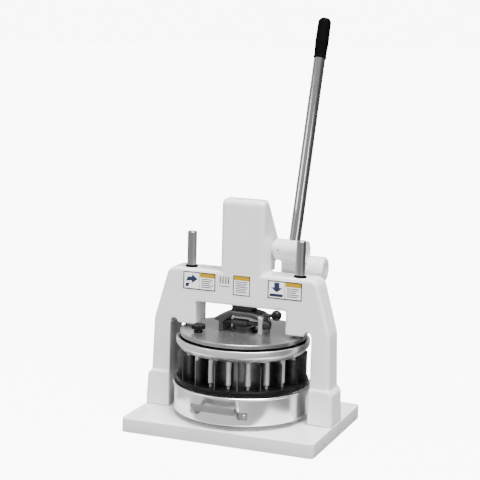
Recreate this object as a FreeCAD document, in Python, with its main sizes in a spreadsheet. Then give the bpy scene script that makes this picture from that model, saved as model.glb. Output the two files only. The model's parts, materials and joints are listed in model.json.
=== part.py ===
"""Manual bench-top dough divider: a portal frame on a flat base, a rack-driven head with
press plates and knives, a hand lever with a counterweight, and a loose dough pan.

Millimetres, +Z up. The origin is the centre of the base's underside; the operator stands at -Y
and the hand lever is on the +X side. Everything is drawn with the head raised and the lever back.
"""
import FreeCAD, Part
import math
import os
import Sketcher

V = FreeCAD.Vector
AXIS = {"x": V(1, 0, 0), "y": V(0, 1, 0), "z": V(0, 0, 1)}
PLANES = {"xy": "XY_Plane", "xz": "XZ_Plane", "yz": "YZ_Plane"}

DRIVING = {
    # base and portal frame
    "base_width": 576, "base_depth": 438, "base_height": 42, "base_corner": 12, "base_edge": 3,
    "frame_y": -8, "frame_depth": 84, "frame_top": 458, "frame_edge": 9,
    "leg_half": 277, "knee_half": 268, "knee_z": 302, "knee_round": 60,
    "shoulder_half": 224, "shoulder_round": 26,
    "foot_half": 287.5, "foot_top_half": 283, "foot_inner": 190, "foot_depth": 94,
    "foot_top": 133, "foot_slope_top": 147,
    "arch_half": 137, "arch_top": 362, "haunch_z": 294,
    "pocket_radius": 217, "pan_pocket_radius": 214, "pocket_step": 140,
    "relief_x": 204, "relief_z": 297, "relief_radius": 10,
    "bolt_x": 246, "bolt_pitch": 44, "bolt_diameter": 12, "bolt_cover": 2, "bolt_reach": 66,
    "base_skin": 10, "base_solid_x": 220, "label_thickness": 0.6,
    # press axis, guide rods and their bushes
    "press_y": -16, "rod_x": 166, "rod_diameter": 27, "rod_top": 561, "rod_spigot": 20, "rod_screw": 18,
    "bush_diameter": 36, "bush_gap": 0.05, "wiper_height": 5,
    # rack, pinion and tower
    "axle_y": 40, "axle_z": 521, "axle_diameter": 24, "bearing_diameter": 30,
    "gear_module": 4, "gear_teeth": 16, "gear_width": 40, "backlash": 0.5, "key_width": 8,
    "ram_width": 44, "ram_front": -17, "ram_top": 612, "slide_gap": 0.3,
    "ram_hole_half": 30, "ram_hole_front": -25, "ram_hole_back": 21,
    "tower_half": 65, "tower_front": -50, "tower_back": 66, "tower_top": 668, "tower_crest": -6,
    "nose_radius": 52, "tower_wall": 7, "tower_corner": 16, "tower_edge": 13,
    "bearing_length": 20, "boss_wall": 7, "block_width": 26, "block_depth": 72, "block_height": 28,
    "tower_bolt_inset": 18, "tower_bolt_diameter": 8, "tower_bolt_front": -8, "tower_bolt_back": 16,
    # hand lever, hub and counterweight
    "hub_left": 72, "hub_right": 166, "hub_radius": 31,
    "lever_x": 124, "lever_lean": 18.4, "lever_diameter": 31, "lever_reach": 690,
    "grip_start": 568, "grip_diameter": 38,
    "hub_arm_x": 88, "hub_arm_width": 44, "hub_screw_left": 86, "hub_screw_right": 154, "hub_screw": 8,
    "socket_start": 16, "socket_end": 60, "weight_bolt": 12, "weight_bolt_head": 18,
    "weight_y": 75, "weight_z": 467.5, "weight_radius": 36, "weight_seam": 132, "weight_right": 212,
    # head: disc, knives and yoke
    "disc_radius": 183, "disc_bottom": 279, "disc_thickness": 7,
    "seal_radius": 181, "seal_width": 5, "seal_height": 17,
    "knife_bottom": 139.5, "knife_top": 226, "knife_thickness": 2, "knife_phase": 6.5,
    "knife_ring": 190.5, "knife_ring_wall": 2.5, "knife_ring_top": 154, "pillar_diameter": 10,
    "yoke_front": -56, "yoke_back": 16, "yoke_top": 346, "ram_foot_half": 30, "ram_foot_front": -38,
    "ram_foot_depth": 52,
    "cam_y": -40, "cam_z": 314, "cam_shaft": 12, "cam_start": -58, "cam_lobe": 22, "cam_throw": 1,
    "cam_hub_x": 71, "cam_hub_width": 18, "cam_hub": 26, "arm_diameter": 11,
    "elbow_x": 77, "elbow_y": -46, "elbow_z": 342,
    "ball_x": 115, "ball_y": -62, "ball_z": 350, "ball_radius": 15,
    "socket_x": 2, "socket_flange": 40, "socket_flange_height": 6, "socket_drum": 33, "socket_bore": 22,
    "socket_height": 15, "hub_blade": 8,
    "knob_x": -107, "knob_y": -98, "knob_cap_z": 296, "knob_cap": 21, "knob_height": 12,
    "knob_pin": 8, "knob_stem": 26, "knob_scallop": 10,
    # press group
    "press_ring": 192.5, "press_ring_top": 268, "press_floor": 233, "press_floor_top": 241,
    "press_bore": 184.5, "press_waist": 173, "post_diameter": 16, "post_tip": 9, "post_ring": 155.5,
    "post_step": 162, "plate_top": 152, "plate_gap": 0.6,
    # pan and its seat
    "seat_radius": 150, "seat_height": 14,
    "pan_radius": 196, "pan_rim": 200, "pan_top": 137.5, "pan_wall": 1.5, "board_height": 22,
    "handle_half": 64, "handle_tab": 22, "handle_reach": 30, "handle_height": 22, "handle_plate": 2.2,
    "handle_z": 76, "rivet_diameter": 9, "rivet_head": 2,
}

doc = FreeCAD.newDocument("dough_divider")
dims = doc.addObject("Spreadsheet::Sheet", "dims")
for row, (alias, size) in enumerate(DRIVING.items(), start=1):
    dims.set("A%d" % row, alias)
    dims.set("B%d" % row, str(size))
    dims.setAlias("B%d" % row, alias)
doc.recompute()

parts = []


def num(expression):
    """Value of an expression such as "dims.rod_x + 4"."""
    if isinstance(expression, (int, float)):
        return float(expression)
    return float(dims.evalExpression(expression.replace("dims.", "")))


def keep(obj, label):
    """Mark an object as a finished piece; its label names its file."""
    obj.Label = label
    parts.append(obj)
    return obj


def bind(obj, **sizes):
    """Bind properties of an object to expressions."""
    for name, expression in sizes.items():
        obj.setExpression(name, str(expression))


def put(obj, x="0", y="0", z="0", turns=()):
    """Place an object; turns are (axis, degrees) applied in the order given."""
    rotation = FreeCAD.Rotation()
    for axis, degrees in turns:
        rotation = FreeCAD.Rotation(AXIS[axis], degrees) * rotation
    obj.Placement = FreeCAD.Placement(V(0, 0, 0), rotation)
    for letter, expression in (("x", x), ("y", y), ("z", z)):
        obj.setExpression("Placement.Base." + letter, str(expression))
    return obj


def box(name, length, width, height, x="0", y="0", z="0", turns=()):
    obj = doc.addObject("Part::Box", name)
    bind(obj, Length=length, Width=width, Height=height)
    return put(obj, x, y, z, turns)


def cylinder(name, radius, height, x="0", y="0", z="0", turns=()):
    obj = doc.addObject("Part::Cylinder", name)
    bind(obj, Radius=radius, Height=height)
    return put(obj, x, y, z, turns)


def fuse(name, shapes):
    obj = doc.addObject("Part::MultiFuse", name)
    obj.Shapes = shapes
    obj.Refine = True
    return obj


def cut(name, base, tools):
    obj = doc.addObject("Part::Cut", name)
    obj.Base = base
    obj.Tool = tools[0] if len(tools) == 1 else fuse(name + "_tools", tools)
    obj.Refine = True
    return obj


def group(name, shapes):
    """Separate solids that share one node."""
    obj = doc.addObject("Part::Compound", name)
    obj.Links = shapes
    return obj


def tube(name, outer, inner, height, x="0", y="0", z="0", turns=()):
    """A plain ring or sleeve."""
    body = cylinder(name + "_outer", outer, height, x, y, z, turns)
    bore = cylinder(name + "_bore", inner, height, x, y, z, turns)
    return cut(name, body, [bore])


def along_x():
    """Turns that lay a +Z cylinder along +X."""
    return (("y", 90),)


def new_body(name):
    return doc.addObject("PartDesign::Body", name)


def new_sketch(body, plane, name):
    sketch = body.newObject("Sketcher::SketchObject", name)
    origin = next(o for o in body.Origin.OriginFeatures if o.Role == PLANES[plane])
    sketch.AttachmentSupport = [(origin, "")]
    sketch.MapMode = "FlatFace"
    return sketch


def pin_point(sketch, geometry, end, across, up):
    """Tie one end of a sketch line to the sketch's axes by two bound distances."""
    for kind, expression, axis in (("DistanceX", across, -2), ("DistanceY", up, -1)):
        size = num(expression)
        if size == 0:
            sketch.addConstraint(Sketcher.Constraint("PointOnObject", geometry, end, axis))
            continue
        index = sketch.addConstraint(Sketcher.Constraint(kind, -1, 1, geometry, end, size))
        sketch.setExpression("Constraints[%d]" % index, str(expression))


def outline(body, plane, name, corners):
    """A closed outline of straight lines whose corners are bound expressions."""
    sketch = new_sketch(body, plane, name)
    points = [V(num(across), num(up), 0) for across, up in corners]
    first = sketch.GeometryCount
    count = len(points)
    for i in range(count):
        sketch.addGeometry(Part.LineSegment(points[i], points[(i + 1) % count]))
    for i in range(count):
        following = first + (i + 1) % count
        sketch.addConstraint(Sketcher.Constraint("Coincident", first + i, 2, following, 1))
        pin_point(sketch, first + i, 1, *corners[i])
    return sketch


def circle_sketch(body, plane, name, circles):
    """Full circles given as (across, up, radius) expressions."""
    sketch = new_sketch(body, plane, name)
    for across, up, radius in circles:
        shape = Part.Circle(V(num(across), num(up), 0), AXIS["z"], num(radius))
        geometry = sketch.addGeometry(shape)
        pin_point(sketch, geometry, 3, across, up)
        index = sketch.addConstraint(Sketcher.Constraint("Radius", geometry, num(radius)))
        sketch.setExpression("Constraints[%d]" % index, str(radius))
    return sketch


def pad(body, sketch, name, length, midplane=False, reversed_side=False):
    feature = body.newObject("PartDesign::Pad", name)
    feature.Profile = sketch
    feature.Midplane = midplane
    feature.Reversed = reversed_side
    bind(feature, Length=length)
    doc.recompute()
    return feature


def pocket(body, sketch, name, length, midplane=False, reversed_side=False):
    """Cut a sketch out of a body and make sure that something was removed."""
    before = body.Shape.Volume
    feature = body.newObject("PartDesign::Pocket", name)
    feature.Profile = sketch
    feature.Midplane = midplane
    feature.Reversed = reversed_side
    bind(feature, Length=length)
    doc.recompute()
    if body.Shape.Volume > before - 1:
        raise RuntimeError(name + " removes nothing")
    return feature


def revolve(body, sketch, name):
    feature = body.newObject("PartDesign::Revolution", name)
    feature.Profile = sketch
    feature.ReferenceAxis = (sketch, ["V_Axis"])
    feature.Angle = 360
    doc.recompute()
    return feature


def edges_where(shape, test):
    """Names of the edges whose middle point and direction pass the test."""
    names = []
    for i, edge in enumerate(shape.Edges, start=1):
        first, last = edge.ParameterRange
        middle = edge.valueAt((first + last) / 2)
        direction = edge.tangentAt((first + last) / 2)
        if test(middle, direction):
            names.append("Edge%d" % i)
    return names


def soften(body, name, radius, test, kind="Fillet"):
    """Fillet or chamfer the edges of a body that pass the test."""
    base = body.Tip
    feature = body.newObject("PartDesign::" + kind, name)
    feature.Base = (base, edges_where(base.Shape, test))
    bind(feature, **{"Radius" if kind == "Fillet" else "Size": radius})
    doc.recompute()
    return feature


# ---------------------------------------------------------------- base and frame

BASE_CHAMBERS = 2


def frame_bolt_places():
    """X and Y expressions of the four bolts that hold the frame to the base."""
    for side in ("", "-"):
        for step in ("-", "+"):
            yield side + "dims.bolt_x", "dims.frame_y %s dims.bolt_pitch / 2" % step


def build_base_plate():
    """Flat base with rounded corners, bored from below for the bolts of the feet."""
    body = new_body("base_body")
    half_x, half_y = "dims.base_width / 2", "dims.base_depth / 2"
    corners = [("-" + half_x, "-" + half_y), (half_x, "-" + half_y), (half_x, half_y), ("-" + half_x, half_y)]
    pad(body, outline(body, "xy", "base_outline", corners), "base_pad", "dims.base_height")
    soften(body, "base_corners", "dims.base_corner", lambda m, d: abs(d.z) > 0.9)
    top = num("dims.base_height")
    soften(body, "base_top_edge", "dims.base_edge", lambda m, d: abs(m.z - top) < 0.01)
    places = list(frame_bolt_places())
    radius = "dims.bolt_diameter / 2"
    holes = circle_sketch(body, "xy", "base_holes", [(x, y, radius) for x, y in places])
    pocket(body, holes, "base_bolt_holes", "dims.base_height", reversed_side=True)
    seats = [(x, y, "dims.bolt_diameter * 0.85") for x, y in places]
    bores = circle_sketch(body, "xy", "base_counterbores", seats)
    pocket(body, bores, "base_bolt_seats", "dims.bolt_diameter + dims.bolt_cover", reversed_side=True)
    hollow_base(body)
    keep(body, "base_plate")


def hollow_base(body):
    """Two rows of open chambers in the underside, with a wall round them and ribs between them."""
    wall, far_x, far_y = "dims.base_skin", "dims.base_solid_x", "(dims.base_depth / 2 - dims.base_skin)"
    column = "((%s - %s / 2 - (%d - 0.5) * %s) / %d)" % (far_x, wall, BASE_CHAMBERS, wall, BASE_CHAMBERS)
    for side, mirror in enumerate(("", "-")):
        for row, up in enumerate(("", "-")):
            for i in range(BASE_CHAMBERS):
                near = "(%s / 2 + %d * (%s + %s))" % (wall, i, column, wall)
                far = "(%s + %s)" % (near, column)
                corners = [(mirror + near, "%s%s / 2" % (up, wall)), (mirror + far, "%s%s / 2" % (up, wall)),
                           (mirror + far, up + far_y), (mirror + near, up + far_y)]
                name = "chamber_%d%d%d" % (side, row, i)
                pocket(body, outline(body, "xy", name + "_outline", corners), name,
                       "dims.base_height - dims.base_skin", reversed_side=True)


def build_frame_bolts():
    """Cap screws let into the underside of the base and screwed up into the feet."""
    bolts = []
    for i, (x, y) in enumerate(frame_bolt_places()):
        head = cylinder("bolt_head%d" % i, "dims.bolt_diameter * 0.8", "dims.bolt_diameter", x, y,
                        "dims.bolt_cover")
        shank = cylinder("bolt_shank%d" % i, "dims.bolt_diameter / 2", "dims.bolt_reach", x, y,
                         "dims.bolt_diameter + dims.bolt_cover")
        bolts.append(fuse("bolt%d" % i, [head, shank]))
    keep(group("frame_bolt_group", bolts), "frame_bolts")


def frame_outer_corners():
    """Front view of the frame: flared legs, knees and a sloping shoulder on each side."""
    right = [("dims.leg_half", "dims.base_height"), ("dims.knee_half", "dims.knee_z"),
             ("dims.shoulder_half", "dims.frame_top")]
    left = [("-" + across, up) for across, up in reversed(right)]
    return right + left


def build_foot(side):
    """The wider block at the bottom of a leg, with its sloping upper edge."""
    sign = "-" if side < 0 else ""
    body = new_body("foot_body%d" % side)
    corners = [
        (sign + "dims.foot_inner", "dims.base_height"), (sign + "dims.foot_half", "dims.base_height"),
        (sign + "dims.foot_top_half", "dims.foot_top"),
        (sign + "(dims.foot_top_half - 11)", "dims.foot_slope_top"),
        (sign + "dims.foot_inner", "dims.foot_slope_top"),
    ]
    pad(body, outline(body, "xz", "foot_outline%d" % side, corners), "foot_pad%d" % side,
        "dims.foot_depth", True)
    top = num("dims.foot_slope_top")
    inner = num("dims.foot_inner")
    soften(body, "foot_slope%d" % side, 4,
           lambda m, d: abs(m.z - top) < 0.1 and abs(d.x) > 0.9, "Chamfer")
    soften(body, "foot_round%d" % side, 6, lambda m, d: abs(d.z) > 0.9 and abs(m.x) > inner + 9)
    put(body, y="dims.frame_y")
    return body


def build_portal_frame():
    """White casting with two hollow columns, the bridge over them and a wide foot on each side."""
    body = new_body("portal_body")
    pad(body, outline(body, "xz", "portal_outline", frame_outer_corners()), "portal_pad",
        "dims.frame_depth", True)
    top = num("dims.frame_top")
    knee = num("dims.knee_z")
    soften(body, "portal_shoulders", "dims.shoulder_round",
           lambda m, d: abs(d.y) > 0.9 and abs(m.z - top) < 0.1)
    soften(body, "portal_knees", "dims.knee_round",
           lambda m, d: abs(d.y) > 0.9 and abs(m.z - knee) < 0.1)
    low = num("dims.base_height") + 1
    half_depth = num("dims.frame_depth") / 2
    soften(body, "portal_rounding", "dims.frame_edge",
           lambda m, d: m.z > low and abs(abs(m.y) - half_depth) < 0.1)
    put(body, y="dims.frame_y")
    sill_half = "(dims.tower_half - dims.tower_edge)"
    sill = box("tower_sill", "2 * " + sill_half, "2 * dims.frame_edge", "2 * dims.frame_edge",
               "-" + sill_half, "dims.frame_y - dims.frame_depth / 2",
               "dims.frame_top - 2 * dims.frame_edge")
    blank = fuse("portal_blank", [body, sill, build_foot(-1), build_foot(1)])
    through = "dims.frame_depth * 2"
    back = "dims.frame_y - dims.frame_depth"
    arch = box("arch_space", "dims.arch_half * 2", through, "dims.arch_top - 20", "-dims.arch_half", back, 20)
    head = cylinder("head_space", "dims.pocket_radius", "dims.haunch_z - dims.pocket_step", 0,
                    "dims.press_y", "dims.pocket_step")
    pan = cylinder("pan_space", "dims.pan_pocket_radius", "dims.pocket_step", 0, "dims.press_y", 0)
    holes = []
    for side in (-1, 1):
        holes.append(cylinder("rod_hole%d" % side, "dims.bush_diameter / 2", "dims.frame_top",
                              "%d * dims.rod_x" % side, "dims.press_y", "dims.haunch_z - 10"))
        holes.append(cylinder("relief%d" % side, "dims.relief_radius", through, "%d * dims.relief_x" % side,
                              "dims.frame_y + dims.frame_depth", "dims.relief_z", (("x", 90),)))
    for i, (x, y) in enumerate(frame_bolt_places()):
        holes.append(cylinder("foot_hole%d" % i, "dims.bolt_diameter / 2", "60", x, y, 20))
    for i, (x, y) in enumerate(tower_bolt_places()):
        holes.append(cylinder("tower_hole%d" % i, "dims.tower_bolt_diameter / 2", "dims.frame_top", x, y,
                              "dims.arch_top - 10"))
        holes.append(cylinder("tower_seat%d" % i, "dims.tower_bolt_diameter * 0.94", "20", x, y,
                              "dims.arch_top - 10"))
    holes.append(box("ram_space", "dims.ram_hole_half * 2", "dims.ram_hole_back - dims.ram_hole_front",
                     "dims.frame_top", "-dims.ram_hole_half", "dims.ram_hole_front", "dims.arch_top - 10"))
    keep(cut("portal", blank, [arch, head, pan] + holes), "portal_frame")


def tower_bolt_places():
    """X and Y expressions of the four long screws that pull the tower down on the frame."""
    for side in ("", "-"):
        for y in ("dims.tower_bolt_front", "dims.tower_bolt_back"):
            yield side + "(dims.tower_half - dims.tower_bolt_inset)", y


def build_tower_bolts():
    """Screws put in from the underside of the bridge."""
    bolts = []
    for i, (x, y) in enumerate(tower_bolt_places()):
        head = cylinder("tower_head%d" % i, "dims.tower_bolt_diameter * 0.875",
                        "dims.tower_bolt_diameter", x, y, "dims.arch_top + 2")
        shank = cylinder("tower_shank%d" % i, "dims.tower_bolt_diameter / 2",
                         "dims.frame_top - dims.arch_top + 8", x, y, "dims.arch_top + 10")
        bolts.append(fuse("tower_bolt%d" % i, [head, shank]))
    keep(group("tower_bolt_group", bolts), "tower_bolts")


def tower_sketch(body, name, inset="0"):
    """Side view of the tower: upright front, flat crest, sloping back and round nose.

    The inset moves every side inwards, for the hollow inside the walls.
    """
    sketch = new_sketch(body, "yz", name)
    front, back = "dims.tower_front + " + inset, "dims.tower_back - " + inset
    top, radius = "dims.tower_top - " + inset, "dims.nose_radius - " + inset
    crest = "dims.tower_crest - %s / 2" % inset
    size = num(radius)
    centre = V(num("dims.axle_y"), num("dims.axle_z"), 0)
    dy, dz = num(crest) - centre.x, num(top) - centre.y
    start = math.atan2(dz, dy) - math.acos(size / math.hypot(dy, dz))
    end = -math.acos((num(back) - centre.x) / size)
    touch = centre + V(size * math.cos(start), size * math.sin(start), 0)
    leave = centre + V(size * math.cos(end), size * math.sin(end), 0)
    foot = V(num(back), num("dims.frame_top"), 0)
    heel = V(num(front), num("dims.frame_top"), 0)
    brow = V(num(front), num(top), 0)
    peak = V(num(crest), num(top), 0)
    for a, b in ((heel, brow), (brow, peak), (peak, touch)):
        sketch.addGeometry(Part.LineSegment(a, b))
    sketch.addGeometry(Part.ArcOfCircle(Part.Circle(centre, AXIS["z"], size), end, start))
    for a, b in ((leave, foot), (foot, heel)):
        sketch.addGeometry(Part.LineSegment(a, b))
    for joined in ((0, 2, 1, 1), (1, 2, 2, 1), (4, 2, 5, 1), (5, 2, 0, 1), (3, 1, 4, 1)):
        sketch.addConstraint(Sketcher.Constraint("Coincident", *joined))
    sketch.addConstraint(Sketcher.Constraint("Tangent", 2, 2, 3, 2))
    sketch.addConstraint(Sketcher.Constraint("Vertical", 4))
    pin_point(sketch, 0, 1, front, "dims.frame_top")
    pin_point(sketch, 1, 1, front, top)
    pin_point(sketch, 2, 1, crest, top)
    pin_point(sketch, 5, 1, back, "dims.frame_top")
    pin_point(sketch, 3, 3, "dims.axle_y", "dims.axle_z")
    index = sketch.addConstraint(Sketcher.Constraint("Radius", 3, size))
    sketch.setExpression("Constraints[%d]" % index, radius)
    return sketch


def round_tower(body, name, inset):
    """Round the brow and both side outlines of the tower, or of the hollow inside its walls."""
    floor = num("dims.frame_top")
    half = num("dims.tower_half - " + inset)
    brow_y = num("dims.tower_front + " + inset)
    crest = num("dims.tower_top - " + inset)
    soften(body, name + "_brow", "dims.tower_corner - " + inset,
           lambda m, d: abs(m.z - crest) < 0.2 and abs(m.y - brow_y) < 0.2 and abs(d.x) > 0.9)
    soften(body, name + "_rounding", "dims.tower_edge - " + inset,
           lambda m, d: m.z > floor + 1 and abs(abs(m.x) - half) < 0.1)


def wall_fitting_x(side, depth):
    """Left end of a fitting on the inside of a tower wall that reaches a depth into the tower."""
    return "dims.tower_half - " + depth if side > 0 else "-dims.tower_half + dims.tower_wall - 1"


def build_tower():
    """Hollow casting over the pinion, flush with the front of the bridge."""
    body = new_body("tower_body")
    pad(body, tower_sketch(body, "tower_outline"), "tower_pad", "dims.tower_half * 2", True)
    round_tower(body, "tower", "0")
    hollow = new_body("tower_hollow")
    pad(hollow, tower_sketch(hollow, "hollow_outline", "dims.tower_wall"), "hollow_pad",
        "(dims.tower_half - dims.tower_wall) * 2", True)
    round_tower(hollow, "hollow", "dims.tower_wall")
    body = cut("tower_shell", body, [hollow])
    fittings = [body]
    cuts = []
    for side in (-1, 1):
        fittings.append(cylinder("bearing_boss%d" % side, "dims.bearing_diameter / 2 + dims.boss_wall",
                                 "dims.bearing_length + 1 - dims.tower_wall",
                                 wall_fitting_x(side, "dims.bearing_length"), "dims.axle_y", "dims.axle_z",
                                 along_x()))
        cuts.append(cylinder("bearing_hole%d" % side, "dims.bearing_diameter / 2", "2 * dims.bearing_length",
                             "%d * (dims.tower_half - 10) - dims.bearing_length" % side, "dims.axle_y",
                             "dims.axle_z", along_x()))
        fittings.append(box("tower_block%d" % side, "dims.block_width + 1 - dims.tower_wall",
                            "dims.block_depth", "dims.block_height",
                            wall_fitting_x(side, "dims.block_width"),
                            "dims.tower_front + dims.tower_wall - 1", "dims.frame_top"))
    for i, (x, y) in enumerate(tower_bolt_places()):
        cuts.append(cylinder("tower_thread%d" % i, "dims.tower_bolt_diameter / 2", "20", x, y,
                             "dims.frame_top - 1"))
    keep(cut("tower", fuse("tower_blank", fittings), cuts), "tower_housing")


def build_bearings():
    """Bronze bushes of the pinion axle, and the cover over the blind one."""
    inner = "dims.axle_diameter / 2 + dims.bush_gap"
    for label, x in (("pinion_bush_left", "-dims.tower_half"),
                     ("pinion_bush_right", "dims.tower_half - dims.bearing_length")):
        keep(tube(label + "_tube", "dims.bearing_diameter / 2", inner, "dims.bearing_length", x,
                  "dims.axle_y", "dims.axle_z", along_x()), label)
    keep(cylinder("cover", "dims.bearing_diameter / 2 + 6", "4", "-dims.tower_half - 4", "dims.axle_y",
                  "dims.axle_z", along_x()), "bearing_cover")


def build_guides():
    """Bushes and wiper rings of the guide rods, and the bronze guide of the ram."""
    inner = "dims.rod_diameter / 2 + dims.bush_gap"
    for side, name in ((-1, "left"), (1, "right")):
        x = "%d * dims.rod_x" % side
        keep(tube("bush_" + name, "dims.bush_diameter / 2", inner, "dims.frame_top - dims.haunch_z", x,
                  "dims.press_y", "dims.haunch_z"), "guide_bush_" + name)
        keep(tube("wiper_" + name, "dims.bush_diameter / 2", inner, "dims.wiper_height", x,
                  "dims.press_y", "dims.frame_top"), "rod_wiper_" + name)
    depth = "dims.frame_top - dims.arch_top"
    block = box("ram_guide_block", "dims.ram_hole_half * 2", "dims.ram_hole_back - dims.ram_hole_front",
                depth, "-dims.ram_hole_half", "dims.ram_hole_front", "dims.arch_top")
    ram_back = "dims.axle_y - dims.gear_module * (dims.gear_teeth / 2 - 1)"
    slot = box("ram_guide_slot", "dims.ram_width + 2 * dims.slide_gap",
               ram_back + " - dims.ram_front + 2 * dims.slide_gap", depth,
               "-dims.ram_width / 2 - dims.slide_gap", "dims.ram_front - dims.slide_gap", "dims.arch_top")
    keep(cut("ram_guide_cut", block, [slot]), "ram_guide")


LABELS = {
    "label_left": (-177, 397, 100, 52), "label_numbers": (-66, 412, 34, 32),
    "label_centre": (-23, 393, 52, 58), "label_right": (82, 395, 102, 52),
}


def build_labels():
    """Thin plates stuck to the front of the bridge: left, bottom, width and height of each."""
    for label, (left, bottom, width, height) in LABELS.items():
        keep(box(label + "_plate", width, "dims.label_thickness", height, left,
                 "dims.frame_y - dims.frame_depth / 2 - dims.label_thickness", bottom), label)


def build_pan_seat():
    keep(cylinder("seat", "dims.seat_radius", "dims.seat_height", 0, "dims.press_y", "dims.base_height"),
         "pan_seat")


# ---------------------------------------------------------------- lever, pinion and counterweight

def polar(radius, angle):
    return V(radius * math.cos(angle), radius * math.sin(angle), 0)


def involute_flank(base, start, end, steps=5):
    """Polar (radius, roll-off angle) pairs of an involute between two radii."""
    pairs = []
    for i in range(steps + 1):
        radius = start + (end - start) * i / steps
        pressure = math.acos(min(1, base / radius))
        pairs.append((radius, math.tan(pressure) - pressure))
    return pairs


def pinion_wire():
    """Closed outline of the pinion in its own plane, one tooth centred on angle zero."""
    module = num("dims.gear_module")
    teeth = int(num("dims.gear_teeth"))
    pitch = module * teeth / 2
    pressure = math.radians(20)
    base = pitch * math.cos(pressure)
    tip, root = pitch + 0.9 * module, pitch - 1.25 * module
    half = math.pi / 2 / teeth - num("dims.backlash") / 2 / pitch + math.tan(pressure) - pressure
    flank = involute_flank(base, max(base, root) + 0.01, tip)
    points = []
    for tooth in range(teeth):
        centre = 2 * math.pi * tooth / teeth
        points.append(polar(root, centre - half))
        points += [polar(radius, centre - half + roll) for radius, roll in flank]
        points += [polar(radius, centre + half - roll) for radius, roll in reversed(flank)]
        points.append(polar(root, centre + half))
    return Part.makePolygon(points + [points[0]])


def build_pinion():
    """The gear on the axle; a tooth points at the rack, which lies towards -Y."""
    width = num("dims.gear_width")
    gear = Part.Face(pinion_wire()).extrude(V(0, 0, width))
    bore = Part.makeCylinder(num("dims.axle_diameter") / 2, width)
    key = num("dims.key_width")
    key_way = Part.makeBox(7, key, width, V(num("dims.axle_diameter") / 2 - 4, -key / 2, 0))
    gear = gear.cut(bore).cut(key_way)
    obj = doc.addObject("Part::Feature", "pinion")
    obj.Shape = gear
    # the gear's own X axis is turned to point at -Y and its own Z axis along +X
    turn = FreeCAD.Rotation(V(0, -1, 0), V(0, 0, -1), V(1, 0, 0), "ZXY")
    obj.Placement = FreeCAD.Placement(V(-width / 2, num("dims.axle_y"), num("dims.axle_z")), turn)
    keep(obj, "pinion_gear")


def build_axle():
    """Axle of pinion and hub, the key of the pinion and the washer between tower and hub."""
    shaft = cylinder("axle", "dims.axle_diameter / 2", "dims.hub_right + dims.tower_half - 10",
                     "-dims.tower_half + 2", "dims.axle_y", "dims.axle_z", along_x())
    key_low = "dims.axle_z - dims.key_width / 2"
    slot = box("axle_key_seat", "dims.gear_width", "4", "dims.key_width", "-dims.gear_width / 2",
               "dims.axle_y - dims.axle_diameter / 2 - 1", key_low)
    keep(cut("axle_cut", shaft, [slot]), "pinion_axle")
    keep(box("key", "dims.gear_width", "6", "dims.key_width", "-dims.gear_width / 2",
             "dims.axle_y - dims.axle_diameter / 2 - 3", key_low), "pinion_key")
    keep(tube("washer", "dims.axle_diameter / 2 + 9", "dims.axle_diameter / 2",
              "dims.hub_left - dims.tower_half - 0.6", "dims.tower_half + 0.3", "dims.axle_y", "dims.axle_z",
              along_x()), "thrust_washer")


def lever_direction():
    lean = math.radians(num("dims.lever_lean"))
    return V(0, math.sin(lean), math.cos(lean))


def lever_cylinder(name, radius, start, end):
    """A cylinder along the lever between two distances from the axle's line."""
    obj = doc.addObject("Part::Cylinder", name)
    bind(obj, Radius=radius, Height="(%s) - (%s)" % (end, start))
    put(obj, "dims.lever_x", "dims.axle_y + (%s) * sin(dims.lever_lean * 1 deg)" % start,
        "dims.axle_z + (%s) * cos(dims.lever_lean * 1 deg)" % start, (("x", -num("dims.lever_lean")),))
    return obj


HUB_SCREWS = ("dims.hub_screw_left", "dims.hub_screw_right")


def build_hub():
    """White casting on the axle: barrel, lever socket and the arm that carries the weight."""
    width = "dims.weight_seam - dims.hub_arm_x"
    barrel = cylinder("barrel", "dims.hub_radius", "dims.hub_right - dims.hub_left", "dims.hub_left",
                      "dims.axle_y", "dims.axle_z", along_x())
    boss = cylinder("weight_boss", "dims.weight_radius", width, "dims.hub_arm_x", "dims.weight_y",
                    "dims.weight_z", along_x())
    dy = num("dims.weight_y") - num("dims.axle_y")
    dz = num("dims.axle_z") - num("dims.weight_z")
    lean = math.atan2(dy, dz)
    across = num("dims.hub_arm_width") / 2
    web = box("hub_web", width, "dims.hub_arm_width", math.hypot(dy, dz), "dims.hub_arm_x",
              "dims.weight_y - %f" % (across * math.cos(lean)),
              "dims.weight_z - %f" % (across * math.sin(lean)), (("x", math.degrees(lean)),))
    blank = fuse("hub_blank", [barrel, boss, web])
    bore = cylinder("hub_bore", "dims.axle_diameter / 2", "dims.hub_right - dims.hub_left - 8",
                    "dims.hub_left", "dims.axle_y", "dims.axle_z", along_x())
    socket = lever_cylinder("hub_socket", "dims.lever_diameter / 2", "dims.socket_start", "dims.socket_end")
    bolt_hole = cylinder("weight_bolt_hole", "dims.weight_bolt / 2", "60", "dims.hub_arm_x - 8",
                         "dims.weight_y", "dims.weight_z", along_x())
    bolt_seat = cylinder("weight_bolt_seat", "dims.weight_bolt_head / 2 + 2", "20", "dims.hub_arm_x - 8",
                         "dims.weight_y", "dims.weight_z", along_x())
    screws = [cylinder("hub_thread%d" % i, "dims.hub_screw / 2", "40", x, "dims.axle_y", "dims.axle_z",
                       (("x", 90),)) for i, x in enumerate(HUB_SCREWS)]
    relief = cylinder("weight_relief", "dims.weight_radius + 1", "dims.hub_right", "dims.weight_seam",
                      "dims.weight_y", "dims.weight_z", along_x())
    keep(cut("hub", blank, [bore, socket, bolt_hole, bolt_seat, relief] + screws), "lever_hub")


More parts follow.
